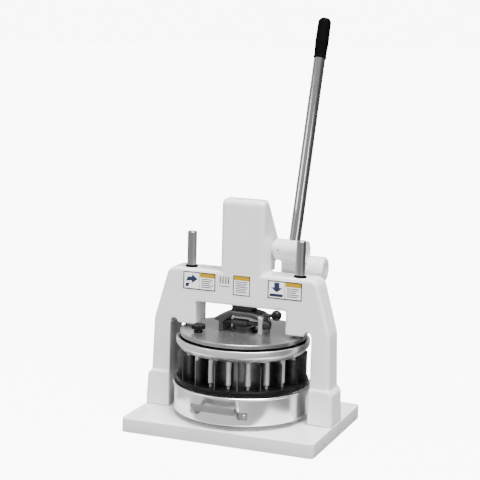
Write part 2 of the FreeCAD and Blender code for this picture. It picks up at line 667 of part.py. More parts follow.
def build_hub_fasteners():
    """Two set screws of the hub and the long bolt through its arm into the weight."""
    front = "dims.axle_y - dims.axle_diameter / 2"
    screws = [cylinder("set_screw%d" % i, "dims.hub_screw / 2", "14", x, front, "dims.axle_z", (("x", 90),))
              for i, x in enumerate(HUB_SCREWS)]
    keep(group("set_screw_group", screws), "hub_set_screws")
    head = cylinder("weight_bolt_head", "dims.weight_bolt_head / 2", "11", "dims.hub_arm_x + 1",
                    "dims.weight_y", "dims.weight_z", along_x())
    shank = cylinder("weight_bolt_shank", "dims.weight_bolt / 2", "75", "dims.hub_arm_x + 12",
                     "dims.weight_y", "dims.weight_z", along_x())
    keep(fuse("weight_bolt_all", [head, shank]), "weight_bolt")


def build_counterweight():
    body = cylinder("weight", "dims.weight_radius", "dims.weight_right - dims.weight_seam",
                    "dims.weight_seam", "dims.weight_y", "dims.weight_z", along_x())
    hole = cylinder("weight_hole", "dims.weight_bolt / 2", "43", "dims.weight_seam", "dims.weight_y",
                    "dims.weight_z", along_x())
    keep(cut("weight_cut", body, [hole]), "counterweight")


def build_lever():
    """Bright round bar with a rounded soft grip over its outer end."""
    rod = lever_cylinder("rod", "dims.lever_diameter / 2", "17", "dims.lever_reach - 8")
    keep(rod, "lever_rod")
    sleeve = lever_cylinder("grip_sleeve", "dims.grip_diameter / 2", "dims.grip_start", "dims.lever_reach")
    core = lever_cylinder("grip_core", "dims.lever_diameter / 2", "dims.grip_start", "dims.lever_reach - 8")
    rounded = doc.addObject("Part::Fillet", "grip_rounded")
    rounded.Base = sleeve
    doc.recompute()
    tip = lever_direction() * num("dims.lever_reach")
    end = V(num("dims.lever_x"), num("dims.axle_y"), num("dims.axle_z")) + tip
    names = [i for i, edge in enumerate(sleeve.Shape.Edges, start=1)
             if edge.Closed and (edge.CenterOfMass - end).Length < 1]
    rounded.Edges = [(i, 12, 12) for i in names]
    keep(cut("grip", rounded, [core]), "lever_grip")


# ---------------------------------------------------------------- head: ram, yoke, disc, rods and knives

def rack_gap(z):
    """One tooth space of the rack, seen along X, as a closed polygon about height z."""
    module = num("dims.gear_module")
    pitch_y = num("dims.axle_y") - module * num("dims.gear_teeth") / 2
    slope = math.tan(math.radians(20))
    half = math.pi * module / 4
    root, tip = pitch_y - 1.25 * module, pitch_y + module + 1
    at_root = half - 1.25 * module * slope
    at_tip = half + (module + 1) * slope
    profile = [(root, -at_root), (tip, -at_tip), (tip, at_tip), (root, at_root)]
    points = [V(0, y, z + dz) for y, dz in profile]
    return Part.makePolygon(points + [points[0]])


def build_ram():
    """Square bar with rack teeth cut in its back; a tooth space faces the pinion's tooth."""
    module = num("dims.gear_module")
    pitch = math.pi * module
    width = num("dims.ram_width")
    front = num("dims.ram_front")
    back = num("dims.axle_y") - module * (num("dims.gear_teeth") / 2 - 1)
    bottom = num("dims.arch_top") - 1
    bar = Part.makeBox(width, back - front, num("dims.ram_top") - bottom, V(-width / 2, front, bottom))
    for step in range(-1, 7):
        gap = Part.Face(rack_gap(num("dims.axle_z") + step * pitch)).extrude(V(width + 2, 0, 0))
        gap.translate(V(-width / 2 - 1, 0, 0))
        bar = bar.cut(gap)
    obj = doc.addObject("Part::Feature", "ram")
    obj.Shape = bar
    keep(obj, "ram_rack")
    keep(box("ram_block", "2 * dims.ram_foot_half", "dims.ram_foot_depth",
             "dims.arch_top - 1 - dims.yoke_top", "-dims.ram_foot_half", "dims.ram_foot_front",
             "dims.yoke_top"), "ram_foot")


def yoke_corners():
    """Front view of the yoke: a crowned top plate on two cheeks, with a lug on the left."""
    low, high = "dims.disc_bottom + dims.disc_thickness", "dims.yoke_top"
    outer = [(70, low), (70, high + " - 13"), (52, high + " - 4"), (30, high), (-30, high),
             (-58, high + " - 13"), (-76, high + " - 22"), (-76, high + " - 29"), (-62, high + " - 31"),
             (-62, low)]
    inner = [(-50, low), (-50, high + " - 33"), (-28, high + " - 13"), (32, high + " - 13"),
             (58, high + " - 19"), (58, low)]
    return outer + inner


def build_yoke():
    """Open yoke on the disc that carries the cam shaft and hangs from the foot of the ram."""
    body = new_body("yoke_body")
    depth = "dims.yoke_back - dims.yoke_front"
    pad(body, outline(body, "xz", "yoke_outline", yoke_corners()), "yoke_pad", depth, True)
    top = num("dims.yoke_top")
    soften(body, "yoke_top_round", 3, lambda m, d: m.z > top - 15 and abs(d.y) < 0.1)
    put(body, y="(dims.yoke_back + dims.yoke_front) / 2")
    hole = cylinder("yoke_hole", "dims.cam_shaft / 2 + dims.bush_gap", "dims.cam_hub_x - dims.cam_start",
                    "dims.cam_start", "dims.cam_y", "dims.cam_z", along_x())
    keep(cut("yoke", body, [hole]), "cam_yoke")


def build_socket():
    """Round flanged socket on the disc that the cam presses on."""
    place = ("dims.socket_x", "dims.press_y", "dims.disc_bottom + dims.disc_thickness")
    flange = cylinder("socket_flange_ring", "dims.socket_flange", "dims.socket_flange_height", *place)
    drum = cylinder("socket_drum_ring", "dims.socket_drum", "dims.socket_height", *place)
    bore = cylinder("socket_drum_bore", "dims.socket_bore", "dims.socket_height", *place)
    keep(cut("socket", fuse("socket_blank", [flange, drum]), [bore]), "ram_socket")


def around(count, radius, phase="0"):
    """(x, y) of places round the press axis; the first, without a phase, looks to the front, -Y."""
    for i in range(count):
        angle = math.radians(num(phase) + 360 * i / count)
        yield radius * math.sin(angle), num("dims.press_y") - radius * math.cos(angle)


INNER_CELLS, MIDDLE_CELLS, OUTER_CELLS = 6, 12, 18
CELLS = INNER_CELLS + MIDDLE_CELLS + OUTER_CELLS


def zones():
    """The three rings of equal cells: name, number of cells, inner and outer radius."""
    inner = num("dims.knife_ring") * math.sqrt(INNER_CELLS / CELLS)
    middle = num("dims.knife_ring") * math.sqrt((INNER_CELLS + MIDDLE_CELLS) / CELLS)
    outer = num("dims.knife_ring") - num("dims.knife_ring_wall")
    return (("inner", INNER_CELLS, 0, inner), ("middle", MIDDLE_CELLS, inner, middle),
            ("outer", OUTER_CELLS, middle, outer))


def pillar_places():
    """(x, y) of the six pillars, on the middle ring of knives."""
    return around(6, zones()[1][3], "dims.knife_phase + 20")


def build_disc():
    """The lid of the head, and the soft seal under its rim."""
    body = new_body("disc_body")
    low = "dims.disc_bottom"
    rods = [("%d * dims.rod_x" % side, 0, "dims.rod_spigot / 2") for side in (-1, 1)]
    pad(body, circle_sketch(body, "xy", "disc_circle", [(0, 0, "dims.disc_radius")]), "disc_pad",
        "dims.disc_thickness")
    thickness = num("dims.disc_thickness")
    soften(body, "disc_edge", 2, lambda m, d: abs(m.z - thickness) < 0.01)
    pocket(body, circle_sketch(body, "xy", "disc_rod_holes", rods), "disc_rods", "dims.disc_thickness",
           reversed_side=True)
    knob = [("dims.knob_x", "dims.knob_y - dims.press_y", "dims.knob_pin / 2 + 0.1")]
    pocket(body, circle_sketch(body, "xy", "disc_knob_hole", knob), "disc_knob", "dims.disc_thickness",
           reversed_side=True)
    put(body, y="dims.press_y", z=low)
    keep(body, "knife_disc")
    keep(tube("seal", "dims.seal_radius", "dims.seal_radius - dims.seal_width", "dims.seal_height", 0,
              "dims.press_y", "dims.disc_bottom - dims.seal_height"), "seal_ring")


def build_rods():
    """Guide rods with a spigot through the disc, held from below by a screw and washer."""
    screws = []
    for side, name in ((-1, "left"), (1, "right")):
        x = "%d * dims.rod_x" % side
        top_of_disc = "dims.disc_bottom + dims.disc_thickness"
        length = "dims.rod_top - dims.disc_bottom - dims.disc_thickness"
        main = cylinder("rod_main_" + name, "dims.rod_diameter / 2", length, x, "dims.press_y", top_of_disc)
        chamfered = doc.addObject("Part::Chamfer", "rod_end_" + name)
        chamfered.Base = main
        doc.recompute()
        top = num("dims.rod_top")
        names = [i for i, edge in enumerate(main.Shape.Edges, start=1)
                 if edge.Closed and abs(edge.CenterOfMass.z - top) < 0.1]
        chamfered.Edges = [(i, 2, 2) for i in names]
        spigot = cylinder("rod_spigot_" + name, "dims.rod_spigot / 2", "dims.disc_thickness + 1", x,
                          "dims.press_y", "dims.disc_bottom")
        keep(fuse("guide_rod_all_" + name, [chamfered, spigot]), "guide_rod_" + name)
        screws.append(cylinder("rod_screw_" + name, "dims.rod_screw / 2", "dims.rod_screw / 3", x,
                               "dims.press_y", "dims.disc_bottom - dims.rod_screw / 3"))
    keep(group("rod_screw_group", screws), "rod_screws")


def radial_box(angle, thickness, inner, outer, low, high):
    """A flat blade between two radii, standing on the press axis."""
    blade = Part.makeBox(thickness, outer - inner, high - low, V(-thickness / 2, -outer, low))
    blade.rotate(V(0, 0, 0), AXIS["z"], angle)
    blade.translate(V(0, num("dims.press_y"), 0))
    return blade


def ring_solid(outer, inner, low, high):
    centre = V(0, num("dims.press_y"), low)
    solid = Part.makeCylinder(outer, high - low, centre)
    return solid.cut(Part.makeCylinder(inner, high - low, centre)) if inner > 0 else solid


def shape_node(label, shape):
    obj = doc.addObject("Part::Feature", label + "_shape")
    obj.Shape = shape
    return keep(obj, label)


def zone_blades(name, cells, inner, outer):
    """Radial blades of one zone, with their ends cut to the ring blades' curves."""
    half = num("dims.knife_thickness") / 2
    low, high = num("dims.knife_bottom"), num("dims.knife_top")
    start = inner + half if inner else num("dims.hub_blade")
    annulus = ring_solid(outer - (0 if name == "outer" else half), start, low, high)
    phase = num("dims.knife_phase") + 180 / cells
    blades = []
    for i in range(cells):
        blade = radial_box(phase + 360 * i / cells, 2 * half, start - 5 if inner else 5, outer + 5, low, high)
        blades.append(blade.common(annulus))
    return blades


def build_knives():
    """Knife grid: hub, two ring blades, a low outer ring and the radial blades between them."""
    half = num("dims.knife_thickness") / 2
    low, high = num("dims.knife_bottom"), num("dims.knife_top")
    for zone in zones():
        shape_node("knife_blades_" + zone[0], Part.makeCompound(zone_blades(*zone)))
    for name, _, _, outer in zones()[:2]:
        shape_node("knife_ring_" + name, ring_solid(outer + half, outer - half, low, high))
    shape_node("knife_hub", ring_solid(num("dims.hub_blade"), 0, low, high))
    ring = num("dims.knife_ring")
    shape_node("knife_ring_outer", ring_solid(ring, ring - num("dims.knife_ring_wall"), low,
                                              num("dims.knife_ring_top")))
    pillars = []
    for i, (x, y) in enumerate(pillar_places()):
        pillars.append(cylinder("pillar%d" % i, "dims.pillar_diameter / 2",
                                "dims.disc_bottom - dims.knife_top", x, y, "dims.knife_top"))
    keep(group("pillar_group", pillars), "knife_pillars")


# ---------------------------------------------------------------- press ring, posts and plates

def build_press_ring():
    """Bowl-shaped aluminium ring whose floor carries the posts."""
    body = new_body("press_ring_body")
    ring, top, floor = "dims.press_ring", "dims.press_ring_top", "dims.press_floor"
    sketch = outline(body, "xz", "press_ring_outline", [
        (0, floor), ("dims.press_waist", floor), (ring, floor), (ring, top),
        ("dims.press_bore", top), ("dims.press_bore", "dims.press_floor_top"), (0, "dims.press_floor_top"),
    ])
    revolve(body, sketch, "press_ring_turn")
    radius = num(ring)
    low = num(floor)
    soften(body, "press_ring_belly", "dims.press_ring - dims.press_waist - 1",
           lambda m, d: abs(m.z - low) < 0.01 and abs(math.hypot(m.x, m.y) - radius) < 0.1)
    high = num(top)
    soften(body, "press_ring_lip", "(dims.press_ring - dims.press_bore) * 0.3",
           lambda m, d: abs(m.z - high) < 0.01)
    put(body, y="dims.press_y")
    holes = []
    for i, (x, y) in enumerate(pillar_places()):
        holes.append(cylinder("pillar_hole%d" % i, "dims.pillar_diameter / 2 + 1.5", "20", x, y,
                              floor + " - 5"))
    keep(cut("press_ring_cut", body, holes), "press_ring")


def post_radius(name, inner, outer):
    """Radius of the circle that the posts of one zone stand on."""
    if name == "outer":
        return num("dims.post_ring")
    return (inner + outer) / 2 if inner else outer * 0.6


def build_posts():
    """One stepped post in the middle of each cell, from the floor of the ring down to its plate."""
    for name, cells, inner, outer in zones():
        posts = []
        for i, (x, y) in enumerate(around(cells, post_radius(name, inner, outer), "dims.knife_phase")):
            stem = cylinder("post_%s%d" % (name, i), "dims.post_diameter / 2",
                            "dims.press_floor - dims.post_step", x, y, "dims.post_step")
            tip = cylinder("post_tip_%s%d" % (name, i), "dims.post_tip / 2",
                           "dims.post_step - dims.plate_top", x, y, "dims.plate_top")
            posts.append(fuse("post_all_%s%d" % (name, i), [stem, tip]))
        keep(group("post_group_" + name, posts), "press_posts_" + name)


def build_plates():
    """Pressing plates that fill the cells between the knives with a small gap all round."""
    half = num("dims.knife_thickness") / 2
    gap = num("dims.plate_gap")
    low, high = num("dims.knife_bottom"), num("dims.plate_top")
    for name, cells, inner, outer in zones():
        rim = outer - (gap if name == "outer" else half + gap)
        bore = inner + half + gap if inner else num("dims.hub_blade") + gap
        annulus = ring_solid(rim, bore, low, high)
        phase = num("dims.knife_phase") + 180 / cells
        slots = [radial_box(phase + 360 * i / cells, 2 * (half + gap), 0, outer + 10, low - 1, high + 1)
                 for i in range(cells)]
        shape_node("press_plates_" + name, annulus.cut(slots))


# ---------------------------------------------------------------- cam lever, lock knob and pan

KNOB_LOBES = 8


def sphere(name, radius, x, y, z):
    obj = doc.addObject("Part::Sphere", name)
    bind(obj, Radius=radius)
    return put(obj, x, y, z)


def build_cam():
    """Blackened cross shaft with its eccentric lobe, and the bent arm with a ball at its end."""
    axis_y, axis_z = "dims.cam_y", "dims.cam_z"
    hub_end = "dims.cam_hub_x + dims.cam_hub_width"
    shaft = cylinder("cam_shaft_bar", "dims.cam_shaft / 2", hub_end + " - dims.cam_start", "dims.cam_start",
                     axis_y, axis_z, along_x())
    lobe = cylinder("cam_lobe_disc", "dims.cam_lobe / 2", "2 * dims.cam_lobe", "-dims.cam_lobe",
                    axis_y + " + dims.cam_throw", axis_z + " - dims.cam_throw", along_x())
    keep(fuse("cam_shaft_all", [shaft, lobe]), "cam_shaft")
    hub = cylinder("cam_hub_drum", "dims.cam_hub / 2", "dims.cam_hub_width", "dims.cam_hub_x", axis_y, axis_z,
                   along_x())
    middle = num("dims.cam_hub_x + dims.cam_hub_width / 2")
    start = V(middle, num(axis_y), num(axis_z))
    elbow = V(num("dims.elbow_x"), num("dims.elbow_y"), num("dims.elbow_z"))
    end = V(num("dims.ball_x"), num("dims.ball_y"), num("dims.ball_z"))
    bars = []
    for i, (a, b) in enumerate(((start, elbow), (elbow, end))):
        bar = doc.addObject("Part::Feature", "cam_arm_bar%d" % i)
        bar.Shape = Part.makeCylinder(num("dims.arm_diameter") / 2, (b - a).Length, a, b - a)
        bars.append(bar)
    knuckle = sphere("cam_elbow", "dims.arm_diameter / 2", "dims.elbow_x", "dims.elbow_y", "dims.elbow_z")
    bore = cylinder("cam_hub_bore", "dims.cam_shaft / 2", "dims.cam_hub_width + 10",
                    "dims.cam_hub_x - 5", axis_y, axis_z, along_x())
    places = ("dims.ball_x", "dims.ball_y", "dims.ball_z")
    ball_hole = sphere("cam_ball_hole", "dims.ball_radius", *places)
    keep(cut("cam_arm_cut", fuse("cam_arm_all", [hub, knuckle] + bars), [bore, ball_hole]), "cam_arm")
    keep(sphere("cam_ball_solid", "dims.ball_radius", *places), "cam_ball")


def build_lock_knob():
    """Quarter-turn knob on the disc: lobed cap, stem and the pin through the disc."""
    top_of_disc = "dims.disc_bottom + dims.disc_thickness"
    x, y, cap_z = "dims.knob_x", "dims.knob_y", "dims.knob_cap_z"
    pin = cylinder("knob_pin_bar", "dims.knob_pin / 2", "dims.disc_thickness + 10", x, y,
                   "dims.disc_bottom - 6")
    stem = cylinder("knob_stem_drum", "dims.knob_stem / 2", cap_z + " - (" + top_of_disc + ") - 0.3", x, y,
                    top_of_disc + " + 0.3")
    cap = cylinder("knob_cap_disc", "dims.knob_cap", "dims.knob_height", x, y, cap_z)
    scallops = []
    reach = "(dims.knob_cap + dims.knob_scallop * 0.35)"
    for i in range(KNOB_LOBES):
        angle = 2 * math.pi * i / KNOB_LOBES
        scallops.append(cylinder("knob_scallop%d" % i, "dims.knob_scallop / 2", "dims.knob_height + 4",
                                 "dims.knob_x + %s * %f" % (reach, math.cos(angle)),
                                 "dims.knob_y + %s * %f" % (reach, math.sin(angle)), cap_z + " - 2"))
    keep(cut("knob", fuse("knob_blank", [pin, stem, cap]), scallops), "lock_knob")


def build_pan():
    """Straight-sided pan with a beaded rim, and the board that lies in it."""
    body = new_body("pan_body")
    low = "dims.base_height + dims.seat_height"
    outer, rim, top, wall = "dims.pan_radius", "dims.pan_rim", "dims.pan_top", "dims.pan_wall"
    sketch = outline(body, "xz", "pan_outline", [
        (0, low), (outer + " - 2", low), (outer, low + " + 2"), (outer, top + " - 5.2"),
        (rim + " - 1", top + " - 5.2"), (rim, top + " - 4"), (rim, top + " - 1"), (rim + " - 1", top),
        (outer + " - 0.8", top),
        ("%s - %s" % (outer, wall), top + " - 0.8"), ("%s - %s" % (outer, wall), "%s + %s" % (low, wall)),
        (0, "%s + %s" % (low, wall)),
    ])
    revolve(body, sketch, "pan_turn")
    put(body, y="dims.press_y")
    keep(body, "pan_shell")
    keep(cylinder("board", "dims.pan_radius - dims.pan_wall - 1", "dims.board_height", 0, "dims.press_y",
                  low + " + " + wall), "pan_board")


def build_pan_handle():
    """Bent strap: two tabs riveted to the wall, two rising legs and the raised grip."""
    half, tab = num("dims.handle_half"), num("dims.handle_tab")
    plate, height = num("dims.handle_plate"), num("dims.handle_height")
    radius, press_y = num("dims.pan_radius"), num("dims.press_y")
    front = press_y - radius - num("dims.handle_reach")
    low = num("dims.handle_z")
    strap = ring_solid(radius + plate, radius, low, low + 2 * height)
    shapes = []
    for side in (-1, 1):
        inner = half if side > 0 else -half - tab
        window = Part.makeBox(tab, radius, 2 * height, V(inner, press_y - radius - 5, low))
        shapes.append(strap.common(window))
        leg_x = half if side > 0 else -half - plate
        leg = Part.makeBox(plate, -front - 150, 2 * height, V(leg_x, front, low))
        shapes.append(leg.cut(Part.makeCylinder(radius, 2 * height, V(0, press_y, low))))
    shapes.append(Part.makeBox(2 * half, plate, 2 * height, V(-half, front, low)))
    strap = shapes[0].multiFuse(shapes[1:])
    side_view = [(-150, low), (press_y - radius + 4, low), (front - 1, low + height),
                 (front - 1, low + 2 * height - 2), (front + 6, low + 2 * height - 2),
                 (press_y - radius + 10, low + height), (-150, low + height)]
    points = [V(-120, y, z) for y, z in side_view]
    prism = Part.Face(Part.makePolygon(points + [points[0]])).extrude(V(240, 0, 0))
    shape_node("pan_handle", strap.common(prism).removeSplitter())


def build_rivets():
    """A rivet through each handle tab, square to the pan's wall."""
    radius, press_y = num("dims.pan_radius"), num("dims.press_y")
    reach = num("dims.handle_half") + num("dims.handle_tab") / 2 + 1
    rivets = []
    for side in (-1, 1):
        depth = math.sqrt(radius ** 2 - reach ** 2)
        out = V(side * reach, -depth, 0).normalize()
        seat = V(0, press_y, num("dims.handle_z + dims.handle_height / 2"))
        seat += out * (radius + num("dims.handle_plate"))
        rivets.append(Part.makeCylinder(num("dims.rivet_diameter") / 2, num("dims.rivet_head"), seat, out))
    shape_node("handle_rivets", Part.makeCompound(rivets))


BUILDERS = (
    build_base_plate, build_frame_bolts, build_portal_frame, build_tower_bolts, build_tower,
    build_bearings, build_guides, build_labels, build_pan_seat,
    build_pinion, build_axle, build_hub, build_hub_fasteners, build_counterweight, build_lever,
    build_ram, build_yoke, build_socket, build_disc, build_rods, build_knives,
    build_press_ring, build_posts, build_plates,
    build_cam, build_lock_knob, build_pan, build_pan_handle, build_rivets,
)


def check_model():
    """Stop before writing anything if a feature failed or a piece is empty or invalid."""
    for obj in doc.Objects:
        if "Invalid" in obj.State or "Error" in obj.State:
            raise RuntimeError("failed object: %s %s" % (obj.Label, obj.State))
    for obj in parts:
        if obj.Shape.isNull() or not obj.Shape.isValid() or not obj.Shape.Solids:
            raise RuntimeError("bad shape: " + obj.Label)


def main():
    for build in BUILDERS:
        build()
    doc.recompute()
    check_model()
    os.makedirs("parts", exist_ok=True)
    for obj in parts:
        obj.Shape.exportStep("parts/%s.step" % obj.Label)
        print(obj.Label, len(obj.Shape.Solids), round(obj.Shape.Volume / 1000, 1), "cm3")
    print(len(parts), "pieces")


main()
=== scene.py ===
"""Looks of the manual dough divider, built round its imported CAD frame.

Metres, +Z up, operator at -Y, hand lever on +X. Pieces that CAD draws with hard edges are replaced by
rounded castings, turned and bent pieces; the others keep their CAD shape and get a finished material.
"""
import json
import math

import bmesh
import bpy
from mathutils import Matrix, Vector


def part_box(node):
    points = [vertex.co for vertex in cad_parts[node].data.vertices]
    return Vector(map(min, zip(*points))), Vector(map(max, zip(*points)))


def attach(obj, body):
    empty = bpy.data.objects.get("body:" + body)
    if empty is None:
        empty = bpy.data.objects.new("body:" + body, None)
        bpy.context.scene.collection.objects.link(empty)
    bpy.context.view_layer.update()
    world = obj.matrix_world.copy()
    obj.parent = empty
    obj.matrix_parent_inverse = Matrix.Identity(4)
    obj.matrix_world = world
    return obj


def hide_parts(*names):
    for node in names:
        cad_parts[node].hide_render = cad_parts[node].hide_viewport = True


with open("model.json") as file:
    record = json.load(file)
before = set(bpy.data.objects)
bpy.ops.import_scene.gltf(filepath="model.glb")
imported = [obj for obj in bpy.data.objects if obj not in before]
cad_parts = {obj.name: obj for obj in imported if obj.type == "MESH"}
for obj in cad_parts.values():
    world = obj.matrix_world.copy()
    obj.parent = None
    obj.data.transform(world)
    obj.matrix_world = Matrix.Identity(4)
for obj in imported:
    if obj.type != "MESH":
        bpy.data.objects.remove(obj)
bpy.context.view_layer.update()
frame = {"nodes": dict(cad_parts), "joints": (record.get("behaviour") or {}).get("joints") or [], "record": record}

NODES = frame["nodes"]
BODY_OF = {node: body for body, members in frame["record"]["behaviour"]["bodies"].items()
           for node in members}
SLOT_OF = {part["node"]: part["material_slot"] for part in frame["record"]["subparts"]}


def middle(node):
    """Middle of a CAD node's box."""
    low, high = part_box(node)
    return (low + high) / 2


def round_size(node):
    """Lowest corner, outer radius and height of an upright round CAD node."""
    low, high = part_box(node)
    return low, (high.x - low.x) / 2, high.z - low.z


PRESS_AXIS = middle("knife_disc")
JOINTS = {joint["name"]: joint for joint in frame["joints"]}
AXLE = Vector(JOINTS["lever_swing"]["pos_m"])


# ---------------------------------------------------------------- camera, light and floor

CAMERA_AZIMUTH = math.radians(20.91)
CAMERA_ELEVATION = math.radians(9.72)
CAMERA_ROLL = math.radians(1.6)
CAMERA_DISTANCE = 4.105
CAMERA_TARGET = Vector((-0.0248, 0, 0.5442))
CAMERA_LENS = 107.53


def add_camera():
    """Camera a little to the right of the front and slightly above the bridge, fitted to the photograph."""
    azimuth, elevation, roll = CAMERA_AZIMUTH, CAMERA_ELEVATION, CAMERA_ROLL
    back = Vector((math.sin(azimuth) * math.cos(elevation), -math.cos(azimuth) * math.cos(elevation),
                   math.sin(elevation)))
    right = Vector((math.cos(azimuth), math.sin(azimuth), 0))
    up = back.cross(right)
    right_rolled = right * math.cos(roll) + up * math.sin(roll)
    up_rolled = up * math.cos(roll) - right * math.sin(roll)
    data = bpy.data.cameras.new("view_camera")
    data.lens = CAMERA_LENS
    data.sensor_width = 36
    data.clip_end = 100
    camera = bpy.data.objects.new("view_camera", data)
    turn = Matrix((right_rolled, up_rolled, back)).transposed()
    camera.matrix_world = Matrix.Translation(CAMERA_TARGET + back * CAMERA_DISTANCE) @ turn.to_4x4()
    bpy.context.scene.collection.objects.link(camera)
    bpy.context.scene.camera = camera


def add_softbox(name, place, aim, size, power):
    """A rectangular area light that looks at a point."""
    data = bpy.data.lights.new(name, "AREA")
    data.shape = "RECTANGLE"
    data.size, data.size_y = size
    data.energy = power
    light = bpy.data.objects.new(name, data)
    light.location = place
    light.rotation_euler = (Vector(aim) - Vector(place)).to_track_quat("-Z", "Y").to_euler()
    bpy.context.scene.collection.objects.link(light)


SUN_TURN = (math.radians(18), 0, math.radians(50))
SUN_STRENGTH = 11.0
SUN_SPREAD = math.radians(38)
BACKDROP = 9.0
WALL_TONE = 0.84
DIM_SIDE = (0.80, 0.45, 0.05)
DIM_SIDE_STRENGTH = 0.25
BOX_AIM = (0, 0, 0.4)


def add_studio():
    """White backdrop, a bright ceiling over darker walls, a broad key light and two soft boxes."""
    world = bpy.data.worlds.new("studio")
    world.use_nodes = True
    bpy.context.scene.world = world
    nodes, links = world.node_tree.nodes, world.node_tree.links
    nodes.clear()
    output = nodes.new("ShaderNodeOutputWorld")
    around = nodes.new("ShaderNodeTexCoord")
    ceiling = nodes.new("ShaderNodeSeparateXYZ")
    links.new(around.outputs["Generated"], ceiling.inputs[0])
    ramp = nodes.new("ShaderNodeValToRGB")
    ramp.color_ramp.elements[0].position = 0.10
    ramp.color_ramp.elements[0].color = (WALL_TONE, WALL_TONE, WALL_TONE, 1)
    ramp.color_ramp.elements[1].position = 0.75
    ramp.color_ramp.elements[1].color = (1, 1, 1, 1)
    links.new(ceiling.outputs["Z"], ramp.inputs[0])
    facing = nodes.new("ShaderNodeVectorMath")
    facing.operation = "DOT_PRODUCT"
    facing.inputs[1].default_value = Vector(DIM_SIDE).normalized()
    links.new(around.outputs["Generated"], facing.inputs[0])
    side = nodes.new("ShaderNodeMapRange")
    for key, value in (("From Min", -0.3), ("From Max", 0.95),
                       ("To Min", 1.0), ("To Max", DIM_SIDE_STRENGTH)):
        side.inputs[key].default_value = value
    links.new(facing.outputs["Value"], side.inputs["Value"])
    lit = nodes.new("ShaderNodeBackground")
    links.new(side.outputs[0], lit.inputs["Strength"])
    links.new(ramp.outputs[0], lit.inputs["Color"])
    seen = nodes.new("ShaderNodeBackground")
    seen.inputs["Color"].default_value = (1, 1, 1, 1)
    seen.inputs["Strength"].default_value = BACKDROP
    path = nodes.new("ShaderNodeLightPath")
    mix = nodes.new("ShaderNodeMixShader")
    links.new(path.outputs["Is Camera Ray"], mix.inputs[0])
    links.new(lit.outputs[0], mix.inputs[1])
    links.new(seen.outputs[0], mix.inputs[2])
    links.new(mix.outputs[0], output.inputs["Surface"])
    sun = bpy.data.lights.new("key_light", "SUN")
    sun.energy = SUN_STRENGTH
    sun.angle = SUN_SPREAD
    lamp = bpy.data.objects.new("key_light", sun)
    lamp.rotation_euler = SUN_TURN
    bpy.context.scene.collection.objects.link(lamp)
    add_softbox("left_box", (-2.6, -2.4, 2.0), BOX_AIM, (1.2, 1.6), 60)
    add_softbox("right_box", (2.8, -2.2, 1.4), BOX_AIM, (0.5, 2.0), 52)


FLOOR_GLOW = 6.0
FLOOR_RADIUS = 30
FLOOR_DROP = 0.0004


def add_floor():
    """Pale paper as bright as the backdrop, seen by the camera but not lighting the object."""
    mesh = bpy.data.meshes.new("studio_floor")
    bm = bmesh.new()
    bmesh.ops.create_circle(bm, cap_ends=True, radius=FLOOR_RADIUS, segments=96)
    bm.to_mesh(mesh)
    bm.free()
    floor = bpy.data.objects.new("studio_floor", mesh)
    floor.location.z = -FLOOR_DROP
    floor.visible_diffuse = False
    floor.visible_glossy = False
    bpy.context.scene.collection.objects.link(floor)
    paper = Finish("floor_paper", (0.90, 0.90, 0.90), roughness=0.9)
    grain = paper.clouds(6)
    paper.shade(grain, 0.01)
    paper.rough(grain, 0.05)
    paper.shader.inputs["Specular IOR Level"].default_value = 0.0
    paper.shader.inputs["Emission Color"].default_value = (1, 1, 1, 1)
    paper.shader.inputs["Emission Strength"].default_value = FLOOR_GLOW
    mesh.materials.append(paper.material)


# ---------------------------------------------------------------- materials

